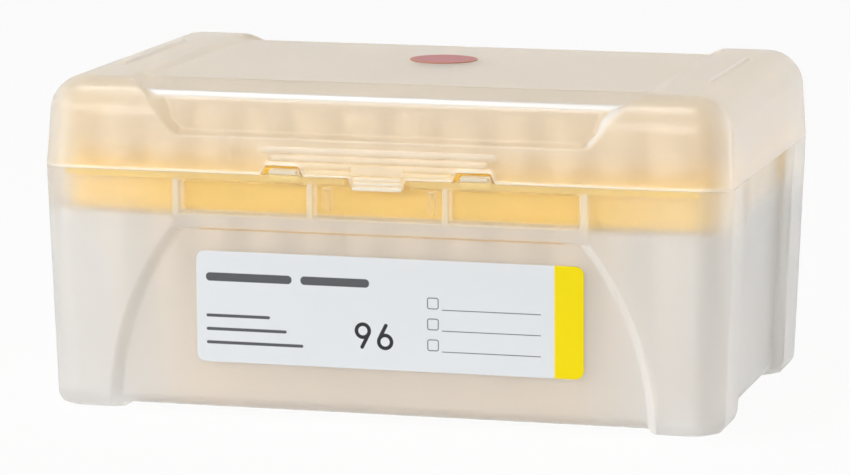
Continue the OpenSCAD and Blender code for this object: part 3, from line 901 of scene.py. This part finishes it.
def base_fittings():
    """The tray's ribs inside the walls, the two catches on the front rim and the hinges' ears and pins."""
    long_rib = rib_outline(HALF_D, 4.8, 2.7, 1) + (MID_Y, 0)
    parts = [across_x(cut_sheet(long_rib, x - RIB_HALF, x + RIB_HALF, RIB_BEVEL)) for x in RIB_X]
    catch = upright_y(cut_sheet(rounded_outline(5.6, 2.0, 0.6), -RIB_HALF, RIB_HALF, RIB_BEVEL))
    lip = upright_y(cut_sheet(rounded_outline(4.8, 0.7, 0.3), -0.5, 0.5, 0.12))
    for side in (-1, 1):
        rib = upright_y(cut_sheet(rib_outline(HALF_W, 5.6, 3.1, side), -RIB_HALF, RIB_HALF, RIB_BEVEL))
        parts += [moved(rib, (0, y + MID_Y, 0)) for y in RIB_Y]
        parts.append(moved(catch, (side * CATCH_X, MID_Y - HALF_D + 2, RIM_Z)))
        parts.append(moved(lip, (side * CATCH_X, MID_Y - HALF_D + 1.1, RIM_Z + 0.5)))
        parts += base_hinge(side * HINGE_X)
    return parts


# ---- rack

HEAD_Z = 44.2  # underside of a tip's head
FIN_Z = (45.2, 52.6)  # where its fins have their full height
TIP_OUTSIDE = [  # radius and height
    (0.34, 4.0), (0.55, 4.05), (0.62, 6), (1.02, 14), (1.35, 17.5), (1.78, 20.5), (2.1, 22.6), (2.42, 25),
    (2.62, 33), (2.75, 40), (2.94, HEAD_Z), (3.35, HEAD_Z), (3.5, 44.35), (3.56, 45), (3.64, 49),
    (3.7, 53.2), (3.62, 53.7), (3.4, 53.95), (3.1, 54.0)]
TIP_INSIDE = [(2.85, 53.9), (2.7, 53.4), (2.6, 46.2), (2.4, 38), (2.22, 30.2), (2.02, 25), (1.3, 20.5),
              (0.7, 14), (0.31, 4.3)]
TIP_SEGMENTS = 32
COLUMN_TIPS = 8
LABEL_R = 1.5
LABEL_T = 0.15


def tip_shape():
    """One tip about Z: a tapered hollow body with a collar and a finned head.

    The fins are a wave in the radius, (1 + cos(n a)) / 2 to the fourth, that fades out over the head's ends.
    """
    rack = settings("tip_box_rack")
    height = rack.fin_height / MM

    def fins(z, angle):
        wave = (0.5 + 0.5 * np.cos(rack.tip_fins * angle)) ** 4
        return np.where(z > HEAD_Z, height * between(z, *FIN_Z, 0.6), 0) * wave

    def swell(z, angle):
        outside = (np.arange(len(z)) < len(TIP_OUTSIDE))[:, None]
        return np.where(outside, fins(z, angle), 0)

    return turned(TIP_OUTSIDE + TIP_INSIDE, TIP_SEGMENTS, swell)


def tip_column(node):
    """The tips of one column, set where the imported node's tips are."""
    low, high = cad_box(node)
    wide, deep = high[:2] - low[:2]
    pitch = (deep - wide) / (COLUMN_TIPS - 1)
    x, first = (low[0] + high[0]) / 2, low[1] + wide / 2
    return joined(*[moved(tip_shape(), (x, first + pitch * row, 0)) for row in range(COLUMN_TIPS)])


def base_front(x, z, depth):
    """A point on the base's leaning front, depth millimetres in from it."""
    return np.stack([x, MID_Y - HALF_D + BASE_DRAFT * (RIM_Z - z) + depth, z], -1)


def label_sheet():
    """The label: a thin sheet with round corners on the front panel, leaning with it."""
    low, high = cad_box("label")
    middle = (low + high) / 2
    outline = rounded_outline(high[0] - low[0], high[2] - low[2], LABEL_R)
    points, faces = upright_y(cut_sheet(outline, -LABEL_T, 0, 0.03))
    x, z = points[:, 0] + middle[0], points[:, 2] + middle[2]
    on_panel = base_front(x, z, in_mm("panel_depth"))
    on_panel[:, 1] += points[:, 1] - LABEL_T
    return on_panel, faces


def indicator_disc():
    """The round indicator: a thin disc with a rounded edge."""
    low, high = cad_box("indicator_dot")
    middle, radius = (low + high) / 2, (high[0] - low[0]) / 2
    thick = high[2] - low[2]
    profile = [(0, 0), (radius - 0.4, 0), (radius - 0.06, 0), (radius, 0.05), (radius - 0.02, thick - 0.04),
               (radius - 0.08, thick), (radius - 0.4, thick), (0, thick)]
    return moved(turned(profile, 96), (middle[0], middle[1], low[2]))


# ---- materials

INK_EDGE = 0.05  # half the soft edge of print, in millimetres


class Num:
    """A number socket of a material. An expression on it adds Math nodes."""

    def __init__(self, shader, socket):
        self.shader, self.socket = shader, socket

    def math(self, operation, *values):
        """The result of one Math node."""
        return Num(self.shader, self.shader.node("Math", enumerate(values), operation=operation).outputs[0])

    def __add__(self, other):
        return self.math("ADD", self, other)

    def __sub__(self, other):
        return self.math("SUBTRACT", self, other)

    def __mul__(self, other):
        return self.math("MULTIPLY", self, other)

    def __truediv__(self, other):
        return self.math("DIVIDE", self, other)

    def __pow__(self, other):
        return self.math("POWER", self, other)

    def __abs__(self):
        return self.math("ABSOLUTE", self)

    __radd__, __rmul__ = __add__, __mul__

    def least(self, other):
        """The smaller of two numbers."""
        return self.math("MINIMUM", self, other)

    def most(self, other):
        """The larger of two numbers."""
        return self.math("MAXIMUM", self, other)

    def inside(self):
        """1 inside a shape and 0 outside it, from the distance outside it, with a fine soft edge."""
        return self.ranged(INK_EDGE, -INK_EDGE)

    def ranged(self, start, end, low=0.0, high=1.0):
        """low up to start and high past end, with a soft run between them."""
        inputs = {"Value": self, "From Min": start, "From Max": end, "To Min": low, "To Max": high}
        node = self.shader.node("MapRange", inputs.items(), interpolation_type="SMOOTHSTEP")
        return Num(self.shader, node.outputs[0])


class Shader:
    """The nodes of one material or of the world."""

    def __init__(self, owner):
        owner.use_nodes = True
        self.owner, self.tree = owner, owner.node_tree
        self.tree.nodes.clear()
        self.coordinates = None

    def node(self, kind, inputs=(), **options):
        """Adds a node: its options first, then a value or a link for each of its sockets."""
        node = self.tree.nodes.new("ShaderNode" + kind)
        for option, value in options.items():
            setattr(node, option, value)
        for name, value in inputs:
            value = value.socket if isinstance(value, Num) else value
            if isinstance(value, bpy.types.NodeSocket):
                self.tree.links.new(value, node.inputs[name])
            else:
                node.inputs[name].default_value = value
        return node

    def place(self):
        """Object coordinates, in metres."""
        if self.coordinates is None:
            self.coordinates = self.node("TexCoord").outputs["Object"]
        return self.coordinates

    def along(self, origin=(0, 0, 0)):
        """Object coordinates from an origin, as three numbers in millimetres."""
        node = self.node("SeparateXYZ", [(0, self.place())])
        return [(Num(self, node.outputs[i]) - origin[i] * MM) * (1 / MM) for i in range(3)]

    def noise(self, scale, detail=2.0, roughness=0.5, stretch=(1, 1, 1), distortion=0.0):
        """Noise from 0 to 1 that repeats about scale times in a metre."""
        place = self.node("Mapping", [(0, self.place()), ("Scale", stretch)]).outputs[0]
        inputs = {"Vector": place, "Scale": scale, "Detail": detail, "Roughness": roughness,
                  "Distortion": distortion}
        return Num(self, self.node("TexNoise", inputs.items()).outputs[0])

    def mix(self, factor, low, high):
        """A colour between two colours or colour sockets."""
        inputs = [(0, factor), (6, rgba(low)), (7, rgba(high))]
        return self.node("Mix", inputs, data_type="RGBA").outputs[2]

    def bump(self, height, strength, distance, under=None):
        """A normal from a height, laid over another one if given."""
        inputs = [("Height", height), ("Strength", strength), ("Distance", distance * MM)]
        return self.node("Bump", inputs + ([("Normal", under)] if under else [])).outputs[0]

    def principled(self, **inputs):
        """A Principled surface, its sockets named with underscores for spaces."""
        named = [(name.replace("_", " "), value) for name, value in inputs.items()]
        return self.node("BsdfPrincipled", named).outputs[0]

    def over(self, factor, low, high):
        """A surface between two surfaces."""
        return self.node("MixShader", [(0, factor), (1, low), (2, high)]).outputs[0]

    def white_light(self, kind, strength=1.0):
        """Even white light from an Emission or a Background node."""
        return self.node(kind, {"Color": (1, 1, 1, 1), "Strength": strength}.items()).outputs[0]

    def rays(self):
        """Three numbers: 1 on rays from the camera, on rays let through a surface and on mirrored rays."""
        outputs = self.node("LightPath").outputs
        return [Num(self, outputs[f"Is {kind} Ray"]) for kind in ("Camera", "Transmission", "Glossy")]

    def lit_through(self, surface, colour):
        """A surface that light from the lamps goes straight through, with its colour changed to colour."""
        lamps_pass = self.node("BsdfTransparent", [("Color", rgba(colour))]).outputs[0]
        return self.over(self.node("LightPath").outputs["Is Shadow Ray"], surface, lamps_pass)

    def ends(self, surface):
        """Ends the material in a surface."""
        self.node("OutputMaterial", [(0, surface)])
        return self.owner

    def surface(self, **inputs):
        """Ends the material in one Principled surface."""
        return self.ends(self.principled(**inputs))


def rgba(colour):
    """A colour with full alpha, or the socket given."""
    return colour if isinstance(colour, bpy.types.NodeSocket) else (*colour[:3], 1.0)


def shade(colour, gain):
    """A colour made lighter or darker."""
    return tuple(min(channel * gain, 1.0) for channel in colour[:3])


def new_material(name):
    """A shader on a new material."""
    return Shader(bpy.data.materials.new(name))


TIP_CLEAR = 0.3  # share of the light that passes through a tip's face
SHEEN = {"IOR": 1.33, "Coat_Weight": 0.8, "Coat_Roughness": 0.28}  # of the frosted plastic
# This near white is also the colour of the painted highlights that the milk attribute marks.
THICK_MILK_AND_HIGHLIGHT = (0.90, 0.875, 0.84)  # colour of the frosted plastic's thickest places
# Painted light in both looks: the warm milk towards the middle is painted warm light from the tips inside,
# and the glow near the tray is a painted yellow glow from the tray.
BASE_LOOK = {  # arguments of frosted_plastic, explained there
    "through": (0.565, 0.545, 0.51), "cloudy": (36.8, 34.8), "cloud": 0.36,
    "ends": (50, 32), "painted_inner_light": (0.94, 0.85, 0.745), "glow_run": (35, 37), "glow": (0.88, 0.70, 0.27),
    # The base's bands are painted yellow light from the tray: a line along the panel's top and a band under
    # the rim.
    "painted_bands": [(PANEL_TOP - 0.35, 0.3, 32, 0.7, (0.80, 0.58, 0.30)),
              ((BAY_TOP + RIM_Z) / 2, 0.55, 56, 0.4, (0.93, 0.74, 0.32))]}
LID_LOOK = {
    "through": (0.64, 0.56, 0.44), "cloudy": (45.5, 50), "cloud": 0.34,
    "ends": (63, 55), "painted_inner_light": (0.77, 0.67, 0.51), "glow_run": (50, 43.5), "glow": (0.93, 0.79, 0.46),
    "painted_bands": []}


def frosted_plastic(name, milkiness, through, cloudy, cloud, ends, painted_inner_light, glow_run, glow, painted_bands):
    """Frosted polypropylene: it blurs what lies behind, and scatters some light back like thin milk.

    Its tint drifts slowly with the wall's flow marks, its haze varies in patches, and a fine grain lies over
    it. The milk's share goes from milkiness to cloud between the two heights of cloudy, and is larger where
    the wall is thick and on painted highlights. Its colour is the setting's at the ends. Towards the middle,
    between the two distances in ends, it goes to a painted warm light from the tips inside, and there on to a
    painted yellow glow from the tray between the two heights given for it. Each band is a painted level line
    of yellow light from the tray, with its middle height, half its height, half its width, the milk's share
    and colour in it. Light from the lamps goes straight through, coloured by through. Heights and distances
    are in millimetres.
    """
    group = settings("tip_box_shell")
    shader = new_material(name)
    patches = shader.noise(28, 3, 0.55)
    flow = shader.noise(14, 2, 0.5, (1, 1, 3.5), 0.6)
    tint = shader.mix(patches, shade(group.tint, 0.965), shade(group.tint, 1.03))
    warm = (min(group.tint[0] * 1.02, 1), group.tint[1] * 0.985, group.tint[2] * 0.94)
    colour = shader.mix(flow.ranged(0.35, 0.75, 0, 0.55), tint, warm)
    fine = shader.noise(1700, 2, 0.6)
    broad = shader.noise(120)
    roughness = group.haze + 0.10 * (patches - 0.5) + 0.05 * (fine - 0.5)
    normal = shader.bump(fine, 0.10, 0.05, shader.bump(broad, 0.10, 0.12))
    # The milk attribute: thick places, and painted highlights on edges, strips and sides.
    thick = Num(shader, shader.node("Attribute", attribute_name="milk").outputs["Fac"])
    clear = shader.principled(Base_Color=colour, Roughness=roughness, Normal=normal, Transmission_Weight=1.0,
                              **SHEEN)
    x, _, z = shader.along()
    inside = abs(x).ranged(*ends)
    # Painted light: the milk turns warm towards the middle, painted light from the tips inside, and yellow
    # near the tray, a painted glow from the tray.
    milk_with_painted_light = shader.mix(inside, group.milk, painted_inner_light)
    milk_with_painted_light = shader.mix(inside * z.ranged(*glow_run), milk_with_painted_light, glow)
    # Near white on thick places and on painted highlights.
    white = shader.mix(thick, milk_with_painted_light, THICK_MILK_AND_HIGHLIGHT)
    share = (z.ranged(*cloudy, milkiness, cloud) + 0.05 * (patches - 0.5)).most(thick)
    # Painted light: each band paints a level line of yellow light from the tray into the milk.
    for middle, half, reach, strength, shine in painted_bands:
        band = abs(z - middle).ranged(half + 0.12, half - 0.08) * abs(x).ranged(reach + 1.5, reach)
        white = shader.mix(band, white, shine)
        share = share.most(band * strength)
    milk = shader.principled(Base_Color=white, Roughness=0.5, Normal=normal, **SHEEN)
    return shader.ends(shader.lit_through(shader.over(share, clear, milk), through))


def tray_plastic():
    """Opaque yellow moulding with faint flow marks and a satin grain."""
    colour = settings("tip_box_rack").tray_colour
    shader = new_material("tray_moulding")
    flow = shader.noise(35, 3, 0.55, (1, 1, 2.5), 0.4)
    fine = shader.noise(1500, 2, 0.6)
    base = shader.mix(flow, shade(colour, 0.93), shade(colour, 1.04))
    roughness = 0.44 + 0.1 * (flow - 0.5) + 0.06 * (fine - 0.5)
    return shader.surface(Base_Color=base, Roughness=roughness, Normal=shader.bump(fine, 0.12, 0.03))


def tip_plastic():
    """Natural, milky polypropylene of the tips, with drawn-out flow marks along them."""
    colour = settings("tip_box_rack").tip_colour
    shader = new_material("tip_natural")
    flow = shader.noise(160, 2, 0.5, (1, 1, 0.15))
    fine = shader.noise(1800, 1, 0.5)
    base = shader.mix(flow, shade(colour, 0.95), shade(colour, 1.04))
    body = shader.principled(
        Base_Color=base, Roughness=0.45 + 0.1 * flow, Normal=shader.bump(fine, 0.05, 0.02),
        Transmission_Weight=TIP_CLEAR, IOR=1.15)
    return shader.ends(shader.lit_through(body, (0.84, 0.76, 0.64)))


def filter_fibre():
    """Sintered white fibre: matt, with small pores."""
    shader = new_material("filter_sinter")
    pores = shader.noise(2600, 3, 0.65)
    colour = shader.mix(pores.ranged(0.35, 0.6), (0.72, 0.70, 0.66), (0.92, 0.91, 0.88))
    roughness = 0.85 + 0.1 * (pores - 0.5)
    return shader.surface(Base_Color=colour, Roughness=roughness, Normal=shader.bump(pores, 0.5, 0.12))


def bar(u, v, centre, size, radius=0.2):
    """Distance outside a bar with round corners: its length past the smaller bar, less the radius.

    The smaller bar is drawn in by the radius, and the length is that of (|u| - w, |v| - h), each at least 0.
    """
    du = (abs(u - centre[0]) - (size[0] / 2 - radius)).most(0)
    dv = (abs(v - centre[1]) - (size[1] / 2 - radius)).most(0)
    return (du * du + dv * dv) ** 0.5 - radius


def ring(u, v, centre, radius, half):
    """Distance outside a ring: | |p - centre| - radius | less half its stroke."""
    du, dv = u - centre[0], v - centre[1]
    return abs((du * du + dv * dv) ** 0.5 - radius) - half


def stroke(u, v, start, end, half):
    """Distance outside a straight stroke with round ends."""
    run = (end[0] - start[0], end[1] - start[1])
    du, dv = u - start[0], v - start[1]
    share = ((du * run[0] + dv * run[1]) / (run[0] ** 2 + run[1] ** 2)).most(0).least(1)
    du, dv = du - share * run[0], dv - share * run[1]
    return (du * du + dv * dv) ** 0.5 - half


def nearest(shapes):
    """The least of several distances."""
    total = shapes[0]
    for shape in shapes[1:]:
        total = total.least(shape)
    return total


HEADING = [(-25.2, 15.6), (-9.6, 12.4)]  # middle and width of each word, from the label's middle
SMALL_PRINT = [((-27.2, -1.6), 11.6), ((-25.7, -4.0), 14.6), ((-24.2, -6.4), 17.6)]  # place and width
FIELD_ROWS = (1.2, -2.5, -6.2)  # heights of the fields to write in
STRIPE_EDGE = (29.55, 29.65)  # soft left edge of the stripe


def label_print():
    """Coated label: a white stock with a stripe at its right end and plain generic print.

    The print is a count of places, a heading and fields to write in, drawn as bars, rings and strokes from
    their distances.
    """
    group = settings("tip_box_print")
    shader = new_material("label_print")
    centre = cad_middle("label")
    x, _, z = shader.along(centre)
    fibres = shader.noise(900, 3, 0.6)
    cloud = shader.noise(45, 2, 0.5)
    stock = shader.mix(cloud, shade(group.stock, 0.985), shade(group.stock, 1.01))

    heading = nearest([bar(x, z, (middle, 5.3), (width, 1.5), 0.7) for middle, width in HEADING])
    small = nearest([bar(x, z, place, (width, 0.55), 0.27) for place, width in SMALL_PRINT])
    fields = nearest([bar(x, z, (18.4, low), (17.6, 0.16), 0.08) for low in FIELD_ROWS]
                     + [abs(bar(x, z, (8.0, low + 1.1), (1.9, 1.9), 0.35)) - 0.09 for low in FIELD_ROWS])
    count = nearest([ring(x, z, (-4.6, -3.1), 1.15, 0.33), stroke(x, z, (-3.55, -3.6), (-4.75, -6.0), 0.33),
                     ring(x, z, (-0.6, -4.9), 1.15, 0.33), stroke(x, z, (-1.65, -4.4), (-0.45, -2.0), 0.33)])
    colour = shader.mix(small.least(heading).inside(), stock, (0.115, 0.12, 0.13))
    colour = shader.mix(fields.inside(), colour, (0.16, 0.165, 0.18))
    colour = shader.mix(count.inside(), colour, (0.035, 0.035, 0.04))
    stripe = x.ranged(*STRIPE_EDGE)
    colour = shader.mix(stripe, colour, group.stripe)
    ink = (small.least(heading).least(fields).least(count).inside()).most(stripe)
    roughness = 0.34 + 0.06 * (fibres - 0.5) - 0.08 * ink
    normal = shader.bump(fibres, 0.08, 0.02)
    return shader.surface(Base_Color=colour, Roughness=roughness, Normal=normal, Specular_IOR_Level=0.2)


def indicator_ink():
    """Round indicator: a rose field with a faint print mottle and a thin warm rim."""
    colour = settings("tip_box_print").indicator
    shader = new_material("indicator_ink")
    x, y, _ = shader.along(cad_middle("indicator_dot"))
    away = (x * x + y * y) ** 0.5
    mottle = shader.noise(700, 3, 0.6)
    field = shader.mix(mottle, shade(colour, 0.94), shade(colour, 1.06))
    low, high = cad_box("indicator_dot")
    radius = (high[0] - low[0]) / 2
    base = shader.mix(away.ranged(radius - 0.55, radius - 0.35), field, (0.62, 0.22, 0.12))
    roughness = 0.42 + 0.08 * (mottle - 0.5)
    return shader.surface(Base_Color=base, Roughness=roughness, Normal=shader.bump(mottle, 0.1, 0.02))


# ---- stage

LAMPS = [  # name, place from the box's foot, size across and up in millimetres, and power in watts
    ("lamp_overhead", (-218, -178, 900), (330, 150), 2.3),
    ("lamp_left", (-720, -420, 180), (380, 500), 1.9),
    ("lamp_right", (740, 440, 180), (160, 450), 1.6),
    ("lamp_front", (-100, -900, 330), (1100, 450), 4.1),
]
LAMPS_AIM = 30  # height of the point that the lamps face
AIM = (-1.856, 0.0, 27.006)  # the camera's aim, from the middle of the box's foot
FLOOR_REACH = 4000  # half the floor's side
FLOOR_LINES = 9  # rows of points in the floor
FLOOR_WHITE = 0.94  # share of plain white in what the camera sees of the floor


def aimed(place, target):
    """A matrix at place whose -Z axis points to target, with its X axis level."""
    place, target = Vector(place) * MM, Vector(target) * MM
    turn = (target - place).to_track_quat("-Z", "Y")
    return Matrix.Translation(place) @ turn.to_matrix().to_4x4()


def studio_floor():
    """White floor: a level sheet under the box that keeps the box's soft shadow.

    It shines plain white to the plastic, and to the camera in the share FLOOR_WHITE.
    """
    side = np.linspace(-1, 1, FLOOR_LINES) * FLOOR_REACH
    x, y = np.meshgrid(side, side, indexing="ij")
    quads = sheet_faces(np.arange(x.size).reshape(x.shape))
    mesh = bpy.data.meshes.new("floor")
    mesh.from_pydata(np.stack([x, y, 0 * x], -1).reshape(-1, 3) * MM, [], quads.tolist())
    floor = new_object("floor", mesh)
    shader = new_material("floor_white")
    paper = shader.principled(Base_Color=shader.mix(shader.noise(40), (0.9, 0.9, 0.9), (0.92, 0.92, 0.92)),
                              Roughness=0.9, Specular_IOR_Level=0.1)
    white = shader.white_light("Emission")
    camera, through, mirrored = shader.rays()
    seen = through.most(mirrored).most(camera * FLOOR_WHITE)
    mesh.materials.append(shader.ends(shader.over(seen, paper, white)))


def studio_world():
    """Even white light all round, and plain white where it is seen directly, through or in the plastic."""
    world = bpy.data.worlds.new("studio")
    bpy.context.scene.world = world
    shader = Shader(world)
    soft = shader.white_light("Background", settings("tip_box_stage").world_light)
    white = shader.white_light("Background")
    camera, through, mirrored = shader.rays()
    shown = shader.over(camera.most(through).most(mirrored), soft, white)
    shader.node("OutputWorld", [(0, shown)])


def studio_lamps():
    """Large soft lamps, each turned towards the box."""
    for name, place, (width, height), power in LAMPS:
        lamp = bpy.data.lights.new(name, "AREA")
        lamp.shape, lamp.size, lamp.size_y, lamp.energy = "RECTANGLE", width * MM, height * MM, power
        holder = new_object(name, lamp)
        holder.matrix_world = aimed(place, (0, MID_Y, LAMPS_AIM))


def studio_camera():
    """The camera, turned about its own axis by the roll."""
    group = settings("tip_box_stage")
    az, el = group.azimuth, group.elevation
    view = Vector((-np.sin(az) * np.cos(el), np.cos(az) * np.cos(el), -np.sin(el)))
    level = Vector((np.cos(az), np.sin(az), 0))
    right = level * np.cos(group.roll) + level.cross(view) * np.sin(group.roll)
    up = right.cross(view)
    place = Vector((AIM[0], AIM[1] + MID_Y, AIM[2])) * MM - view * group.distance
    camera = bpy.data.cameras.new("camera")
    camera.lens, camera.sensor_width, camera.clip_start, camera.clip_end = group.lens, 36, 0.01, 50
    holder = new_object("camera", camera)
    holder.matrix_world = Matrix.Translation(place) @ Matrix((right, up, -view)).transposed().to_4x4()
    bpy.context.scene.camera = holder


# ---- operators

def shell_piece(name, grid, points, milk, wall, below, fittings, thick, plastic, body, node):
    """A frosted shell with its fittings, as one piece that stands for a CAD node.

    points(grid, grow) gives its faces and milk(grid, outer) how milky they are. below says that the closed
    end lies below the rim, and thick is the fittings' milkiness.
    """
    outer = points(grid, 0)
    shell = wall_of(grid, outer, points(grid, wall), below)
    part = joined(shell, *fittings)
    milky = np.full(len(part[0]), thick)
    milky[:len(shell[0])] = np.tile(milk(grid, outer), 2)
    mesh_piece(name, part, plastic, body, [node], milk=milky)


def repaint(node, material):
    """Gives a CAD node's object a new material in each of its slots."""
    piece = frame["nodes"][node]
    for slot in piece.material_slots:
        slot.material = material
    if not piece.material_slots:
        raise RuntimeError(node + " has no material slot")


def columns_of(kind):
    """The CAD nodes of the twelve columns of tips or filters, in order."""
    return sorted(name for name in frame["nodes"] if name.startswith(kind + "_column_"))


class TIPBOX_OT_base(bpy.types.Operator):
    """Makes the base: its shell, ribs, catches and hinge ears."""

    bl_idname = "tip_box.base"
    bl_label = "Base"

    def execute(self, context):
        plastic = frosted_plastic("base_frost", settings("tip_box_shell").base_milk, **BASE_LOOK)
        shell_piece("base_shell", base_grid(), base_points, base_milk, in_mm("base_wall"),
                    True, base_fittings(), 0.7, plastic, "box", "base")
        return {"FINISHED"}


class TIPBOX_OT_lid(bpy.types.Operator):
    """Makes the lid: its shell, grip, latch tab, stacking ribs and hinge eyes."""

    bl_idname = "tip_box.lid"
    bl_label = "Lid"

    def execute(self, context):
        plastic = frosted_plastic("lid_frost", settings("tip_box_shell").lid_milk, **LID_LOOK)
        eyes = lid_eye(-HINGE_X) + lid_eye(HINGE_X)
        shell_piece("lid_shell", lid_grid(), lid_points, lid_milk, in_mm("lid_wall"),
                    False, eyes, 0.3, plastic, "cover", "lid")
        return {"FINISHED"}


class TIPBOX_OT_tray(bpy.types.Operator):
    """Finishes the tray."""

    bl_idname = "tip_box.tray"
    bl_label = "Tray"

    def execute(self, context):
        repaint("tray", tray_plastic())
        return {"FINISHED"}


class TIPBOX_OT_tips(bpy.types.Operator):
    """Makes the twelve columns of tips."""

    bl_idname = "tip_box.tips"
    bl_label = "Tips"

    def execute(self, context):
        plastic = tip_plastic()
        for node in columns_of("tips"):
            row = node.replace("column", "row")
            mesh_piece(row, tip_column(node), plastic, "box", [node], crease=45)
        return {"FINISHED"}


class TIPBOX_OT_filters(bpy.types.Operator):
    """Finishes the filter plugs."""

    bl_idname = "tip_box.filters"
    bl_label = "Filters"

    def execute(self, context):
        fibre = filter_fibre()
        for node in columns_of("filters"):
            repaint(node, fibre)
        return {"FINISHED"}


class TIPBOX_OT_label(bpy.types.Operator):
    """Makes the label on the front panel."""

    bl_idname = "tip_box.label"
    bl_label = "Label"

    def execute(self, context):
        mesh_piece("label_sheet", label_sheet(), label_print(), "box", ["label"], crease=45)
        return {"FINISHED"}


class TIPBOX_OT_indicator(bpy.types.Operator):
    """Makes the round indicator on the lid."""

    bl_idname = "tip_box.indicator"
    bl_label = "Indicator"

    def execute(self, context):
        mesh_piece("indicator_disc", indicator_disc(), indicator_ink(), "cover",
                   ["indicator_dot"], crease=45)
        return {"FINISHED"}


class TIPBOX_OT_stage(bpy.types.Operator):
    """Sets up the floor, the world, the lamps and the camera."""

    bl_idname = "tip_box.stage"
    bl_label = "Stage"

    def execute(self, context):
        studio_floor()
        studio_world()
        studio_lamps()
        studio_camera()
        context.scene.view_settings.view_transform = "Standard"
        return {"FINISHED"}


class TIPBOX_PT_panel(bpy.types.Panel):
    """Lists the pieces and their settings in the sidebar."""

    bl_idname = "TIPBOX_PT_panel"
    bl_label = "Tip Box"
    bl_space_type = "VIEW_3D"
    bl_region_type = "UI"
    bl_category = "Tip Box"

    def draw(self, context):
        for operator in OPERATORS:
            self.layout.operator(operator.bl_idname)
        for name, group in GROUPS:
            box = self.layout.box()
            for prop in group.__annotations__:
                box.prop(getattr(context.scene, name), prop)


GROUPS = [("tip_box_shell", TipBoxShell), ("tip_box_rack", TipBoxRack), ("tip_box_print", TipBoxPrint),
          ("tip_box_stage", TipBoxStage)]
OPERATORS = [TIPBOX_OT_base, TIPBOX_OT_lid, TIPBOX_OT_tray, TIPBOX_OT_tips, TIPBOX_OT_filters,
             TIPBOX_OT_label, TIPBOX_OT_indicator, TIPBOX_OT_stage]


def register():
    """Adds the settings, the operators and the panel to Blender."""
    for name, group in GROUPS:
        bpy.utils.register_class(group)
        setattr(bpy.types.Scene, name, PointerProperty(type=group))
    for item in OPERATORS + [TIPBOX_PT_panel]:
        bpy.utils.register_class(item)


def unregister():
    """Takes them away again."""
    for item in reversed(OPERATORS + [TIPBOX_PT_panel]):
        bpy.utils.unregister_class(item)
    for name, group in reversed(GROUPS):
        delattr(bpy.types.Scene, name)
        bpy.utils.unregister_class(group)


def main():
    """Makes every piece and the stage."""
    register()
    bpy.ops.tip_box.base()
    bpy.ops.tip_box.lid()
    bpy.ops.tip_box.tray()
    bpy.ops.tip_box.tips()
    bpy.ops.tip_box.filters()
    bpy.ops.tip_box.label()
    bpy.ops.tip_box.indicator()
    bpy.ops.tip_box.stage()


if __name__ == "__main__":
    main()
